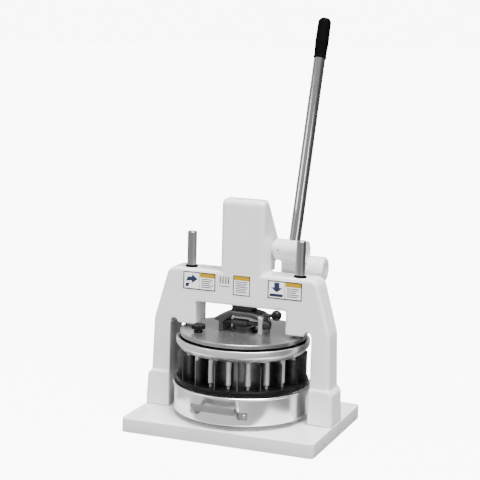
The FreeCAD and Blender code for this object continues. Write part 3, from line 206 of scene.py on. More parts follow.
class Finish:
    """A Principled material whose colour, roughness and bump come from procedural patterns."""

    def __init__(self, name, colour, roughness=0.4, metallic=0.0, coat=0.0):
        self.material = bpy.data.materials.new(name)
        self.material.use_nodes = True
        self.nodes = self.material.node_tree.nodes
        self.links = self.material.node_tree.links
        self.shader = self.nodes["Principled BSDF"]
        self.colour = colour
        self.roughness = roughness
        self.shader.inputs["Base Color"].default_value = (*colour, 1)
        self.shader.inputs["Roughness"].default_value = roughness
        self.shader.inputs["Metallic"].default_value = metallic
        self.shader.inputs["Coat Weight"].default_value = coat
        self.shader.inputs["Coat Roughness"].default_value = 0.12
        self.place = self.nodes.new("ShaderNodeTexCoord").outputs["Object"]
        self.colour_now = None
        self.height = None

    def node(self, kind, settings=None, inputs=None):
        """A new node with its settings, and its inputs linked from sockets or set to values."""
        made = self.nodes.new(kind)
        for key, value in (settings or {}).items():
            setattr(made, key, value)
        for key, value in (inputs or {}).items():
            if isinstance(value, bpy.types.NodeSocket):
                self.links.new(value, made.inputs[key])
            else:
                made.inputs[key].default_value = value
        return made

    def maths(self, operation, a, b=0.0, c=0.0):
        return self.node("ShaderNodeMath", {"operation": operation}, {0: a, 1: b, 2: c}).outputs[0]

    def spread(self, value, low, high, start=0.3, end=0.7):
        """Map a pattern's usual range to low..high."""
        ranged = self.node("ShaderNodeMapRange", inputs={
            "Value": value, "From Min": start, "From Max": end, "To Min": low, "To Max": high})
        return ranged.outputs[0]

    def clouds(self, scale, detail=4.0):
        """Soft noise in the object's own coordinates."""
        return self.node("ShaderNodeTexNoise", inputs={
            "Vector": self.place, "Scale": scale, "Detail": detail, "Roughness": 0.6}).outputs[0]

    def shade(self, value, amount):
        """Darken and lighten the colour by a pattern."""
        low = tuple(max(0, c * (1 - amount)) for c in self.colour)
        high = tuple(min(1, c * (1 + amount)) for c in self.colour)
        blend = self.node("ShaderNodeMix", {"data_type": "RGBA"}, {
            "Factor": self.spread(value, 0, 1), 6: (*low, 1), 7: (*high, 1)})
        self.colour_now = blend.outputs[2]
        self.links.new(self.colour_now, self.shader.inputs["Base Color"])

    def tint(self, value, colour):
        """Lay another colour over the present one where the value is one."""
        present = self.colour_now or (*self.colour, 1)
        blend = self.node("ShaderNodeMix", {"data_type": "RGBA"}, {
            "Factor": value, 6: present, 7: (*colour, 1)})
        self.colour_now = blend.outputs[2]
        self.links.new(self.colour_now, self.shader.inputs["Base Color"])

    def rough(self, value, amount):
        """Let the roughness vary by a pattern."""
        self.links.new(self.spread(value, self.roughness - amount, self.roughness + amount),
                       self.shader.inputs["Roughness"])

    def relief(self, value, strength, depth):
        """Bump; further calls build on the one before."""
        inputs = {"Height": value, "Strength": strength, "Distance": depth}
        if self.height is not None:
            inputs["Normal"] = self.height
        self.height = self.node("ShaderNodeBump", inputs=inputs).outputs[0]
        self.links.new(self.height, self.shader.inputs["Normal"])

    def lines_along(self, direction, scale):
        """Fine parallel marks square to a direction, as turning or grinding leaves."""
        along = self.node("ShaderNodeVectorMath", {"operation": "DOT_PRODUCT"},
                          {0: self.place, 1: Vector(direction).normalized()}).outputs["Value"]
        return self.node("ShaderNodeTexNoise", {"noise_dimensions": "1D"},
                         {"W": along, "Scale": scale, "Detail": 6.0, "Roughness": 0.75}).outputs[0]

    def folded(self):
        """Place with X made positive and Y dropped, for marks that are alike on both sides."""
        parts = self.node("ShaderNodeSeparateXYZ", inputs={0: self.place}).outputs
        return self.node("ShaderNodeCombineXYZ", inputs={
            "X": self.maths("ABSOLUTE", parts["X"]), "Z": parts["Z"]}).outputs[0]

    def from_axis(self, centre):
        """Distance from a vertical axis."""
        moved = self.node("ShaderNodeVectorMath", {"operation": "SUBTRACT"},
                          {0: self.place, 1: (centre.x, centre.y, 0)}).outputs[0]
        flat = self.node("ShaderNodeVectorMath", {"operation": "MULTIPLY"},
                         {0: moved, 1: (1, 1, 0)}).outputs[0]
        return self.node("ShaderNodeVectorMath", {"operation": "LENGTH"}, {0: flat}).outputs["Value"]

    def rings_round(self, centre, scale):
        """Fine circular marks round a vertical axis, on flat and upright faces alike."""
        height = self.node("ShaderNodeSeparateXYZ", inputs={0: self.place}).outputs["Z"]
        where = self.node("ShaderNodeCombineXYZ", inputs={
            "X": self.from_axis(centre), "Y": height}).outputs[0]
        return self.node("ShaderNodeTexNoise", {"noise_dimensions": "2D"},
                         {"Vector": where, "Scale": scale, "Detail": 6.0, "Roughness": 0.75}).outputs[0]


def white_paint(name):
    """Glossy white enamel over a casting: orange peel, slow waves and a trace of uneven tone."""
    paint = Finish(name, (0.74, 0.74, 0.735), roughness=0.30, coat=0.35)
    paint.shade(paint.clouds(3, 2), 0.006)
    paint.rough(paint.clouds(22, 3), 0.06)
    paint.relief(paint.clouds(26, 2), 0.10, 0.004)
    paint.relief(paint.clouds(420, 2), 0.05, 0.0008)
    return paint


# Where the frame is tinted darker grey metal, the pocket walls round the head and the relief holes: painted shade
# of the narrow gap round the head.
POCKET_EDGE = (0.2183, 0.2191)
POCKET_TOP = (0.2925, 0.2935)
RELIEF = (0.204, 0, 0.297)
RELIEF_EDGE = (0.0106, 0.0112)
POCKET_SHADE_GREY = (0.38, 0.38, 0.38)


def frame_paint():
    """White enamel, with the bored pocket for the head and its two relief holes tinted darker grey with a
    bare-metal finish: the darker grey is painted shade of the narrow gap round the head.
    """
    paint = white_paint("frame_paint")
    radius = paint.from_axis(PRESS_AXIS)
    bored = paint.spread(radius, 1, 0, *POCKET_EDGE)
    height = paint.node("ShaderNodeSeparateXYZ", inputs={0: paint.place}).outputs["Z"]
    below = paint.spread(height, 1, 0, *POCKET_TOP)
    moved = paint.node("ShaderNodeVectorMath", {"operation": "SUBTRACT"}, {0: paint.folded(), 1: RELIEF})
    relief = paint.node("ShaderNodeVectorMath", {"operation": "LENGTH"}, {0: moved.outputs[0]})
    notch = paint.spread(relief.outputs["Value"], 1, 0, *RELIEF_EDGE)
    pocket_shade_mask = paint.maths("MAXIMUM", paint.maths("MULTIPLY", bored, below), notch)
    # painted shade: the pocket walls and relief holes are tinted darker grey where the narrow gap round the head
    # lies in shade
    paint.tint(pocket_shade_mask, POCKET_SHADE_GREY)
    paint.links.new(paint.maths("MULTIPLY", pocket_shade_mask, 0.7), paint.shader.inputs["Metallic"])
    paint.links.new(paint.maths("MULTIPLY_ADD", pocket_shade_mask, 0.25, 0.30), paint.shader.inputs["Roughness"])
    return paint


# X beyond which the yoke's right cheek is tinted lighter grey: painted light on the side that faces the light.
YOKE_LIT_CHEEK_EDGE = (0.0575, 0.0585)


def make_finishes():
    """One finish for each material slot of the record, and own ones for the lever, yoke and strap."""
    made = {}

    def add(slot, finish):
        made[slot] = finish.material
        return finish

    add("white_paint", white_paint("white_paint"))
    lever_way = middle("lever_grip") - AXLE
    bright = add("bright_steel", Finish("bright_steel", (0.26, 0.26, 0.26), 0.34, 1.0))
    ground = bright.lines_along((0, 0, 1), 2600)
    bright.shade(bright.clouds(12, 2), 0.04)
    bright.rough(ground, 0.02)
    bright.relief(ground, 0.02, 0.0001)
    lever = add("lever_steel", Finish("lever_steel", (0.29, 0.29, 0.29), 0.20, 1.0))
    drawn = lever.lines_along(lever_way, 2200)
    lever.shade(lever.clouds(10, 2), 0.05)
    lever.rough(drawn, 0.03)
    lever.relief(drawn, 0.05, 0.0002)
    tool = add("tool_steel", Finish("tool_steel", (0.30, 0.30, 0.31), 0.36, 1.0))
    tool.shade(tool.clouds(60), 0.18)
    tool.rough(tool.clouds(140), 0.10)
    tool.relief(tool.clouds(900, 3), 0.12, 0.0004)
    screw = add("screw_steel", Finish("screw_steel", (0.50, 0.50, 0.49), 0.32, 1.0))
    screw.shade(screw.clouds(120), 0.12)
    screw.rough(screw.clouds(300), 0.10)
    screw.relief(screw.clouds(1500, 3), 0.10, 0.0003)
    bronze = add("bronze", Finish("bronze", (0.60, 0.41, 0.20), 0.34, 1.0))
    bronze.shade(bronze.clouds(80), 0.16)
    bronze.rough(bronze.clouds(200), 0.08)
    bronze.relief(bronze.clouds(1200, 3), 0.10, 0.0003)
    rubber = add("black_rubber", Finish("black_rubber", (0.002, 0.002, 0.0022), 0.60))
    rubber.shader.inputs["Specular IOR Level"].default_value = 0.02
    rubber.shade(rubber.clouds(160), 0.30)
    rubber.rough(rubber.clouds(60), 0.08)
    rubber.relief(rubber.clouds(1400, 4), 0.22, 0.0004)
    label = add("label", Finish("label", (0.86, 0.86, 0.85), 0.34))
    label.shade(label.clouds(90), 0.02)
    label.relief(label.clouds(700, 2), 0.04, 0.0003)
    iron = add("dark_iron", Finish("dark_iron", (0.022, 0.022, 0.023), 0.42, 0.4))
    iron.shade(iron.clouds(55, 6), 0.35)
    iron.rough(iron.clouds(90), 0.10)
    iron.relief(iron.clouds(380, 5), 0.30, 0.0009)
    yoke = add("yoke_iron", Finish("yoke_iron", (0.030, 0.030, 0.031), 0.45, 0.30))
    yoke.shade(yoke.clouds(45, 6), 0.22)
    across = yoke.node("ShaderNodeSeparateXYZ", inputs={0: yoke.place}).outputs["X"]
    # painted light: the right cheek is tinted lighter grey on the side that faces the light; the left cheek keeps
    # the dark iron
    yoke.tint(yoke.spread(across, 0, 1, *YOKE_LIT_CHEEK_EDGE), (0.30, 0.30, 0.30))
    yoke.rough(yoke.clouds(80), 0.08)
    yoke.relief(yoke.clouds(420, 4), 0.16, 0.0006)
    disc = add("satin_disc", Finish("satin_disc", (0.31, 0.31, 0.31), 0.27, 0.9))
    faced = disc.rings_round(PRESS_AXIS, 1500)
    disc.shade(disc.clouds(14), 0.07)
    disc.rough(faced, 0.07)
    disc.relief(faced, 0.10, 0.0003)
    ring = add("cast_aluminium", Finish("cast_aluminium", (0.80, 0.80, 0.80), 0.32, 1.0))
    spun = ring.rings_round(PRESS_AXIS, 1300)
    ring.shade(ring.clouds(20), 0.04)
    ring.rough(spun, 0.08)
    ring.relief(spun, 0.12, 0.0003)
    post = add("post_aluminium", Finish("post_aluminium", (0.60, 0.60, 0.60), 0.40, 0.55))
    post.shade(post.clouds(80), 0.06)
    turned = post.lines_along((0, 0, 1), 2400)
    post.rough(turned, 0.08)
    post.relief(turned, 0.10, 0.0003)
    blade = add("blade_steel", Finish("blade_steel", (0.20, 0.20, 0.205), 0.28, 1.0))
    blade.shade(blade.clouds(45), 0.20)
    blade.rough(blade.lines_along((0, 0, 1), 1800), 0.08)
    blade.relief(blade.clouds(900, 3), 0.06, 0.0003)
    plastic = add("black_plastic", Finish("black_plastic", (0.004, 0.004, 0.0043), 0.36))
    plastic.shader.inputs["Specular IOR Level"].default_value = 0.14
    plastic.shade(plastic.clouds(120), 0.25)
    plastic.rough(plastic.clouds(70), 0.07)
    plastic.relief(plastic.clouds(1100, 3), 0.10, 0.0004)
    pan = add("pan_steel", Finish("pan_steel", (0.88, 0.88, 0.88), 0.22, 1.0))
    rolled = pan.rings_round(middle("pan_shell"), 900)
    pan.shade(pan.clouds(10), 0.03)
    pan.rough(rolled, 0.03)
    pan.relief(rolled, 0.06, 0.0002)
    strap = add("strap_steel", Finish("strap_steel", (0.38, 0.38, 0.38), 0.30, 1.0))
    strap.shade(strap.clouds(60), 0.08)
    strap.rough(strap.lines_along((0, 0, 1), 1400), 0.08)
    strap.relief(strap.clouds(800, 3), 0.05, 0.0002)
    board = add("white_board", Finish("white_board", (0.84, 0.84, 0.81), 0.52))
    board.shade(board.clouds(40), 0.03)
    board.relief(board.clouds(600, 5), 0.15, 0.0006)
    return made


INKS = ("ink_black", "ink_yellow", "ink_grey", "ink_navy")


def add_inks(made):
    """Inks of the stuck-on plates."""
    for name, colour in (("ink_black", (0.02, 0.02, 0.023)), ("ink_yellow", (0.40, 0.235, 0.0)),
                         ("ink_grey", (0.03, 0.03, 0.06)), ("ink_navy", (0.012, 0.016, 0.05))):
        ink = Finish(name, colour, 0.5)
        ink.shader.inputs["Specular IOR Level"].default_value = 0.3
        ink.shade(ink.clouds(500), 0.08)
        ink.relief(ink.clouds(1500, 2), 0.05, 0.0002)
        made[name] = ink.material


# ---------------------------------------------------------------- mesh helpers

def new_piece(name, mesh, node, finish, *more_nodes):
    """Link a piece, let it ride where its CAD node rides, and hide that node."""
    piece = bpy.data.objects.new(name, mesh)
    bpy.context.scene.collection.objects.link(piece)
    for one in [finish] if isinstance(finish, str) else finish:
        mesh.materials.append(FINISHES[one])
    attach(piece, BODY_OF[node])
    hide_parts(node, *more_nodes)


def opened(mesh):
    """A bmesh that holds a mesh."""
    bm = bmesh.new()
    bm.from_mesh(mesh)
    return bm


def closed(bm, name):
    """A new mesh from a bmesh, which is freed."""
    mesh = bpy.data.meshes.new(name)
    bm.to_mesh(mesh)
    bm.free()
    return mesh


def finished_mesh(bm, name, crease=38):
    """A smooth mesh whose edges sharper than the crease angle stay crisp."""
    bmesh.ops.recalc_face_normals(bm, faces=bm.faces)
    for face in bm.faces:
        face.smooth = True
    for edge in bm.edges:
        edge.smooth = len(edge.link_faces) != 2 or edge.calc_face_angle(0) < math.radians(crease)
    return closed(bm, name)


def rounded(corners, steps=6):
    """A profile of (across, up) points with corners given as (across, up, radius) turned into arcs."""
    points = []
    count = len(corners)
    for i, (x, y, radius) in enumerate(corners):
        here = Vector((x, y))
        if radius <= 0:
            points.append(here)
            continue
        before = Vector(corners[i - 1][:2]) - here
        after = Vector(corners[(i + 1) % count][:2]) - here
        half = before.angle(after) / 2
        cut = radius / math.tan(half)
        a, b = here + before.normalized() * cut, here + after.normalized() * cut
        centre = here + (before.normalized() + after.normalized()).normalized() * (radius / math.sin(half))
        start, end = a - centre, b - centre
        turn = start.angle_signed(end)
        for k in range(steps + 1):
            angle = -turn * k / steps
            points.append(centre + Vector((start.x * math.cos(angle) - start.y * math.sin(angle),
                                           start.x * math.sin(angle) + start.y * math.cos(angle))))
    return points


def lathe_into(bm, profile, place, segments, ring=False):
    """Turn a profile of (radius, height) points about the Z axis of a place; a ring's profile is a loop."""
    rings = []
    for radius, height in profile:
        if radius < 1e-6:
            rings.append([bm.verts.new(place @ Vector((0, 0, height)))])
            continue
        turned = []
        for k in range(segments):
            angle = 2 * math.pi * k / segments
            point = Vector((radius * math.cos(angle), radius * math.sin(angle), height))
            turned.append(bm.verts.new(place @ point))
        rings.append(turned)
    pairs = list(zip(rings, rings[1:]))
    if ring:
        pairs.append((rings[-1], rings[0]))
    for first, second in pairs:
        if len(first) == 1 and len(second) == 1:
            continue
        for k in range(segments):
            after = (k + 1) % segments
            if len(first) == 1:
                bm.faces.new((first[0], second[after], second[k]))
            elif len(second) == 1:
                bm.faces.new((first[k], first[after], second[0]))
            else:
                bm.faces.new((first[k], first[after], second[after], second[k]))


def lathe(name, corners, centre, segments, ring=False, steps=6, turn=Matrix.Identity(4)):
    """A turned piece with rounded corners."""
    bm = bmesh.new()
    lathe_into(bm, rounded(corners, steps), Matrix.Translation(centre) @ turn, segments, ring)
    return finished_mesh(bm, name)


SEAM_WELD = 2e-6


def cad_bmesh(*nodes):
    """The meshes of CAD nodes with their seams joined."""
    bm = bmesh.new()
    for node in nodes:
        bm.from_mesh(NODES[node].data)
        bmesh.ops.remove_doubles(bm, verts=bm.verts, dist=SEAM_WELD)
    return bm


def with_modifiers(mesh, modifiers):
    """A new mesh with (kind, settings) modifiers applied in order."""
    scratch = bpy.data.objects.new("scratch", mesh)
    bpy.context.scene.collection.objects.link(scratch)
    for kind, settings in modifiers:
        modifier = scratch.modifiers.new(kind.lower(), kind)
        for key, value in settings.items():
            setattr(modifier, key, value)
    graph = bpy.context.evaluated_depsgraph_get()
    made = bpy.data.meshes.new_from_object(scratch.evaluated_get(graph))
    bpy.data.objects.remove(scratch)
    return made


def softened(bm, name, voxel, rounds):
    """The form in a bmesh with every edge softened; its overall size is kept."""
    low, high = extent(bm.verts)
    mesh = closed(bm, name)
    mesh.materials.clear()
    made = with_modifiers(mesh, (
        ("REMESH", {"mode": "VOXEL", "voxel_size": voxel, "use_smooth_shade": True}),
        ("SMOOTH", {"factor": 0.5, "iterations": rounds}),
    ))
    made.name = name
    now_low, now_high = extent(made.vertices)
    for vertex in made.vertices:
        for i in range(3):
            share = (vertex.co[i] - now_low[i]) / (now_high[i] - now_low[i])
            vertex.co[i] = low[i] + share * (high[i] - low[i])
    for face in made.polygons:
        face.use_smooth = True
    return made


def extent(vertices):
    """Lowest and highest corner round some vertices."""
    places = [v.co for v in vertices]
    return (Vector([min(p[i] for p in places) for i in range(3)]),
            Vector([max(p[i] for p in places) for i in range(3)]))


def casting(node, name, finish, voxel, rounds):
    """Replace a CAD node by the same form with every edge softened, as a sand casting has."""
    new_piece(name, softened(cad_bmesh(node), name, voxel, rounds), node, finish)


CUT_WELD = 0.00012


def cut_level(mesh, height, upper, name):
    """The part of a closed mesh above or below a level, closed again there."""
    bm = opened(mesh)
    bmesh.ops.bisect_plane(bm, geom=bm.verts[:] + bm.edges[:] + bm.faces[:], plane_co=(0, 0, height),
                           plane_no=(0, 0, 1), clear_inner=upper, clear_outer=not upper)
    bmesh.ops.remove_doubles(bm, verts=bm.verts, dist=CUT_WELD)
    bmesh.ops.delete(bm, geom=[edge for edge in bm.edges if edge.is_wire], context="EDGES")
    rim = [edge for edge in bm.edges if edge.is_boundary]
    caps = bmesh.ops.triangle_fill(bm, use_beauty=True, use_dissolve=False, edges=rim)["geom"]
    for face in caps:
        if isinstance(face, bmesh.types.BMFace):
            face.smooth = False
    bmesh.ops.recalc_face_normals(bm, faces=bm.faces)
    return closed(bm, name)


def add_frame_and_tower():
    """Frame and tower softened as one skin, so that their fronts run through, then parted at the joint."""
    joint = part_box("tower_housing")[0].z
    skin = softened(cad_bmesh("portal_frame", "tower_housing"), "frame_skin", 0.0024, 9)
    for name, node, finish, upper in (("portal_casting", "portal_frame", "frame_paint", False),
                                      ("tower_casting", "tower_housing", "white_paint", True)):
        new_piece(name, cut_level(skin, joint, upper, name), node, finish)


def eased(node, name, finish, width):
    """Replace a CAD node by the same form with its sharp edges broken by a small round."""
    bm = cad_bmesh(node)
    bmesh.ops.dissolve_limit(bm, angle_limit=math.radians(0.8), verts=bm.verts, edges=bm.edges)
    made = with_modifiers(closed(bm, name), (
        ("BEVEL", {"width": width, "segments": 3, "limit_method": "ANGLE",
                   "angle_limit": math.radians(32), "use_clamp_overlap": True}),
    ))
    new_piece(name, finished_mesh(opened(made), name, 40), node, finish)


# ---------------------------------------------------------------- castings

def add_castings():
    """Cast, forged and sawn pieces; voxel size and smoothing rounds go with each piece's size."""
    add_frame_and_tower()
    casting("lever_hub", "hub_casting", "white_paint", 0.0013, 7)
    casting("cam_yoke", "yoke_casting", "yoke_iron", 0.0011, 5)
    casting("ram_foot", "ram_foot_block", "dark_iron", 0.0011, 4)
    casting("cam_arm", "cam_arm_forging", "dark_iron", 0.0008, 6)
    eased("base_plate", "base_slab", "white_paint", 0.0012)


def add_counterweight():
    """Turned white weight with a rounded outer end and a shallow dished face."""
    low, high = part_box("counterweight")
    radius = (high.z - low.z) / 2
    length = high.x - low.x
    dish = 0.0015
    centre = middle("counterweight")
    along_x = Matrix.Rotation(math.pi / 2, 4, "Y")
    mesh = lathe("counterweight_turned", [
        (0, 0, 0), (radius - 0.002, 0, 0), (radius, 0.002, 0), (radius, length, 0.009),
        (radius * 0.45, length, 0.002), (radius * 0.42, length - dish, 0.001), (0, length - dish, 0),
    ], Vector((low.x, centre.y, centre.z)), 96, turn=along_x)
    new_piece("counterweight_turned", mesh, "counterweight", "white_paint")


# ---------------------------------------------------------------- rods, lever and grip

def add_wipers():
    """Rubber wiper rings that taper to a lip round the rod."""
    for side in ("left", "right"):
        node = "rod_wiper_" + side
        low, outer, tall = round_size(node)
        bore = round_size("guide_rod_" + side)[1] + 0.0001
        mesh = lathe("wiper_ring_" + side, [
            (bore, 0, 0), (outer, 0, 0), (outer, tall * 0.55, 0.0009),
            (outer - 0.0022, tall * 0.62, 0.0006), (bore + 0.0012, tall, 0.0004), (bore, tall, 0),
        ], Vector((middle(node).x, middle(node).y, low.z)), 72, ring=True)
        new_piece("wiper_ring_" + side, mesh, node, "black_rubber")


def lever_frame():
    """Matrix whose Z axis runs up the lever from the axle's line."""
    way = (middle("lever_grip") - AXLE).normalized()
    return Matrix.Translation(AXLE) @ way.to_track_quat("Z", "Y").to_matrix().to_4x4()


def along_lever(node):
    """Nearest and furthest distance of a CAD node up the lever from the axle, and its radius."""
    inverse = lever_frame().inverted()
    points = [inverse @ v.co for v in NODES[node].data.vertices]
    heights = [point.z for point in points]
    return min(heights), max(heights), max(math.hypot(point.x, point.y) for point in points)


def add_lever():
    """Steel rod with broken ends, and a moulded grip with a bead, a swell and a domed tip."""
    start, end, radius = along_lever("lever_rod")
    bm = bmesh.new()
    lathe_into(bm, rounded([(0, start, 0), (radius, start, 0.001), (radius, end, 0.001), (0, end, 0)]),
               lever_frame(), 96)
    new_piece("lever_bar", finished_mesh(bm, "lever_bar"), "lever_rod", "lever_steel")
    start, end, outer = along_lever("lever_grip")
    bore = radius + 0.0002
    rod_end = end - 0.0078
    bm = bmesh.new()
    lathe_into(bm, rounded([
        (bore, start, 0), (outer - 0.0012, start, 0.0012), (outer - 0.0008, start + 0.006, 0.001),
        (outer - 0.0020, start + 0.008, 0.001), (outer, start + 0.050, 0.05),
        (outer - 0.0006, end - 0.030, 0.03), (outer - 0.0012, end, 0.0145), (0, end, 0),
        (0, rod_end, 0), (bore, rod_end, 0),
    ], 8), lever_frame(), 96, ring=True)
    new_piece("lever_grip_moulded", finished_mesh(bm, "lever_grip_moulded"), "lever_grip", "black_rubber")


# ---------------------------------------------------------------- head, ring and posts

TURNED = 240


def at_press(height):
    """Point on the press axis at a height."""
    return Vector((PRESS_AXIS.x, PRESS_AXIS.y, height))


def add_press_ring():
    """Spun aluminium bowl with a rolled lip; holes let the knife pillars through its floor."""
    low, outer, tall = round_size("press_ring")
    waist, bore, floor = outer - 0.0195, outer - 0.008, 0.008
    hole, through = 0.0066, 0.04
    corners = [
        (0, 0, 0), (waist, 0, 0.0015), (waist + 0.0045, 0.0015, 0.004), (outer, 0.0185, 0.016),
        (outer, tall, 0.0022), (bore, tall, 0.0018), (bore, floor, 0.004), (0, floor, 0),
    ]
    mesh = lathe("press_ring_spun", corners, at_press(low.z), TURNED, steps=7)
    drill = bmesh.new()
    pillars = cad_bmesh("knife_pillars")
    for centre in islands(pillars):
        place = Matrix.Translation(Vector((centre.x, centre.y, low.z - 0.01)))
        lathe_into(drill, ((0, 0), (hole, 0), (hole, through), (0, through)), place, 40)
    pillars.free()
    drill_object = bpy.data.objects.new("pillar_drill", finished_mesh(drill, "pillar_drill"))
    bpy.context.scene.collection.objects.link(drill_object)
    bored = with_modifiers(mesh, (("BOOLEAN", {"operation": "DIFFERENCE", "object": drill_object}),))
    bpy.data.objects.remove(drill_object)
    spun = finished_mesh(opened(bored), "press_ring_spun")
    new_piece("press_ring_spun", spun, "press_ring", "cast_aluminium")


def islands(bm):
    """Centre of each separate solid in a bmesh, in a fixed order."""
    left = set(bm.verts)
    centres = []
    while left:
        stack = [left.pop()]
        found = list(stack)
        while stack:
            for edge in stack.pop().link_edges:
                for vert in edge.verts:
                    if vert in left:
                        left.remove(vert)
                        stack.append(vert)
                        found.append(vert)
        low, high = extent(found)
        centres.append((low + high) / 2)
    return sorted(centres, key=tuple)


POST_RADIUS = 0.008


def add_posts():
    """Turned posts: a stem with a groove near its top and a narrower foot in the plate."""
    for zone in ("inner", "middle", "outer"):
        node = "press_posts_" + zone
        low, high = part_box(node)
        tall = high.z - low.z
        source = cad_bmesh(node)
        stem, foot, groove = POST_RADIUS, 0.0045, POST_RADIUS - 0.0006
        bm = bmesh.new()
        for centre in islands(source):
            lathe_into(bm, rounded([
                (0, 0, 0), (foot, 0, 0.0004), (foot, 0.0075, 0.0012), (stem - 0.0002, 0.0105, 0.0012),
                (stem, 0.0125, 0.001), (stem, tall - 0.006, 0.001), (groove, tall - 0.005, 0.0004),
                (groove, tall - 0.004, 0.0004), (stem, tall - 0.003, 0.0004), (stem, tall, 0),
                (0, tall, 0),
            ], 3), Matrix.Translation(Vector((centre.x, centre.y, low.z))), 32)
        source.free()
        new_piece(node + "_turned", finished_mesh(bm, node + "_turned"), node, "post_aluminium")


def add_seal_and_outer_ring():
    """Dark seal under the lid with a metal collar above it, and the grooved black ring round the knives."""
    low, outer, tall = round_size("seal_ring")
    collar = tall * 0.68
    seal = lathe("seal_band", [
        (outer - 0.005, 0, 0.0008), (outer - 0.001, 0, 0.001), (outer - 0.0006, tall * 0.35, 0.002),
        (outer - 0.0014, collar - 0.0005, 0.0004), (outer, collar, 0.0004), (outer, tall, 0),
        (outer - 0.005, tall, 0),
    ], at_press(low.z), TURNED, ring=True)
    for face in seal.polygons:
        face.material_index = int(face.center.z > low.z + collar - 0.0004)
    new_piece("seal_band", seal, "seal_ring", ["black_rubber", "satin_disc"])
    low, outer, tall = round_size("knife_ring_outer")
    moulded = lathe("outer_ring_moulded", [
        (outer - 0.0025, 0, 0.0004), (outer, 0, 0.0010), (outer, tall - 0.004, 0.0006),
        (outer - 0.0006, tall - 0.003, 0.0004), (outer, tall - 0.002, 0.0005), (outer, tall, 0.0009),
        (outer - 0.0025, tall, 0.0006),
    ], at_press(low.z), TURNED, ring=True)
    new_piece("outer_ring_moulded", moulded, "knife_ring_outer", "black_plastic")


KNOB_RADIUS, KNOB_LOBE, KNOB_LOBES = 0.0196, 0.0018, 8
KNOB_CAP = ((0.0, 0.90), (0.0012, 0.97), (0.003, 1.0), (0.009, 1.0), (0.0108, 0.97), (0.0120, 0.90),
            (0.0118, 0.62), (0.0104, 0.50))


def add_knob():
    """Lobed clamping knob with a dished top and a flanged stem."""
    low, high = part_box("lock_knob")
    centre = middle("lock_knob")
    disc_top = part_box("knife_disc")[1].z
    stem_low = disc_top + 0.0003
    cap_low = high.z - 0.012
    pin = 0.004
    bm = bmesh.new()
    lathe_into(bm, rounded([
        (0, low.z, 0), (pin, low.z, 0.0006), (pin, stem_low, 0), (0.0115, stem_low, 0.001),
        (0.0130, stem_low + 0.002, 0.001), (0.0118, stem_low + 0.006, 0.003), (0.0125, cap_low, 0.001),
        (0, cap_low, 0),
    ], 5), Matrix.Translation(Vector((centre.x, centre.y, 0))), 64)
    around = 96
    rings = []
    for rise, size in KNOB_CAP:
        turned = []
        for k in range(around):
            angle = 2 * math.pi * k / around
            reach = size * (KNOB_RADIUS + KNOB_LOBE * math.cos(KNOB_LOBES * angle))
            turned.append(bm.verts.new(Vector((centre.x + reach * math.cos(angle),
                                               centre.y + reach * math.sin(angle), cap_low + rise))))
        rings.append(turned)
    for first, second in zip(rings, rings[1:]):
        for k in range(around):
            after = (k + 1) % around
            bm.faces.new((first[k], first[after], second[after], second[k]))
    bm.faces.new(list(reversed(rings[0])))
    bm.faces.new(rings[-1])
    new_piece("lock_knob_moulded", finished_mesh(bm, "lock_knob_moulded", 50), "lock_knob", "black_plastic")


def add_ball():
    """Moulded ball knob with a flat where the arm enters."""
    centre = middle("cam_ball")
    low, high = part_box("cam_ball")
    radius = (high.z - low.z) / 2
    flat = radius * 0.93
    pivot = Vector(JOINTS["cam_swing"]["pos_m"])
    way = (centre - pivot).normalized()
    turn = Matrix.Translation(centre) @ way.to_track_quat("Z", "Y").to_matrix().to_4x4()
    profile = [(0, -flat), (radius * 0.34, -flat)]
    for k in range(3, 25):
        angle = math.pi * k / 24
        profile.append((radius * math.sin(angle), -radius * math.cos(angle)))
    bm = bmesh.new()
    lathe_into(bm, profile[:-1] + [(0, radius)], turn, 64)
    new_piece("cam_ball_moulded", finished_mesh(bm, "cam_ball_moulded"), "cam_ball", "black_plastic")


# ---------------------------------------------------------------- pan and handle

PAN_BEAD = 0.004


def add_pan():
    """Deep drawn pan with a rolled bead at its rim."""
    low, rim, tall = round_size("pan_shell")
    centre = middle("pan_board")
    outer = rim - PAN_BEAD
    wall = 0.0015
    corners = [
        (0, 0, 0), (outer - 0.003, 0, 0), (outer, 0, 0.005), (outer, tall - 0.0062, 0.0012),
        (rim - 0.0003, tall - 0.0050, 0.0015), (rim, tall - 0.0020, 0.0022), (rim - 0.0022, tall, 0.0015),
        (outer - wall, tall - 0.0006, 0.0012), (outer - wall, wall, 0.0035), (0, wall, 0),
    ]
    mesh = lathe("pan_spun", corners, Vector((centre.x, centre.y, low.z)), 256)
    new_piece("pan_spun", mesh, "pan_shell", "pan_steel")


HANDLE_GAP = 0.0002
RIVET_HEAD = ((0, 0, 0), (0.0045, 0, 0), (0.0045, 0.0006, 0.0003), (0.0032, 0.0018, 0.0014), (0, 0.0021, 0))


def handle_path(half, tab, radius, front, press_y, plate):
    """Plan view of the strap's outer face as (x, y, rise) with rise 0 on the tabs and 1 on the grip."""
    points = []
    inner_y = press_y - math.sqrt((radius + plate) ** 2 - half ** 2)
    for k in range(7):
        x = half + tab * (1 - k / 6)
        points.append((x, press_y - math.sqrt((radius + plate) ** 2 - x * x), 0.0))
    for k in range(1, 8):
        share = k / 8
        points.append((half, inner_y + (front - inner_y) * share, share))
    bend = 0.007
    for k in range(7):
        angle = math.pi / 2 * k / 6
        points.append((half - bend + bend * math.cos(angle), front + bend - bend * math.sin(angle), 1.0))
    for k in range(1, 8):
        points.append(((half - bend) * (1 - k / 8), front, 1.0))
    mirrored = [(-x, y, rise) for x, y, rise in reversed(points)]
    return points + [(0, front, 1.0)] + mirrored


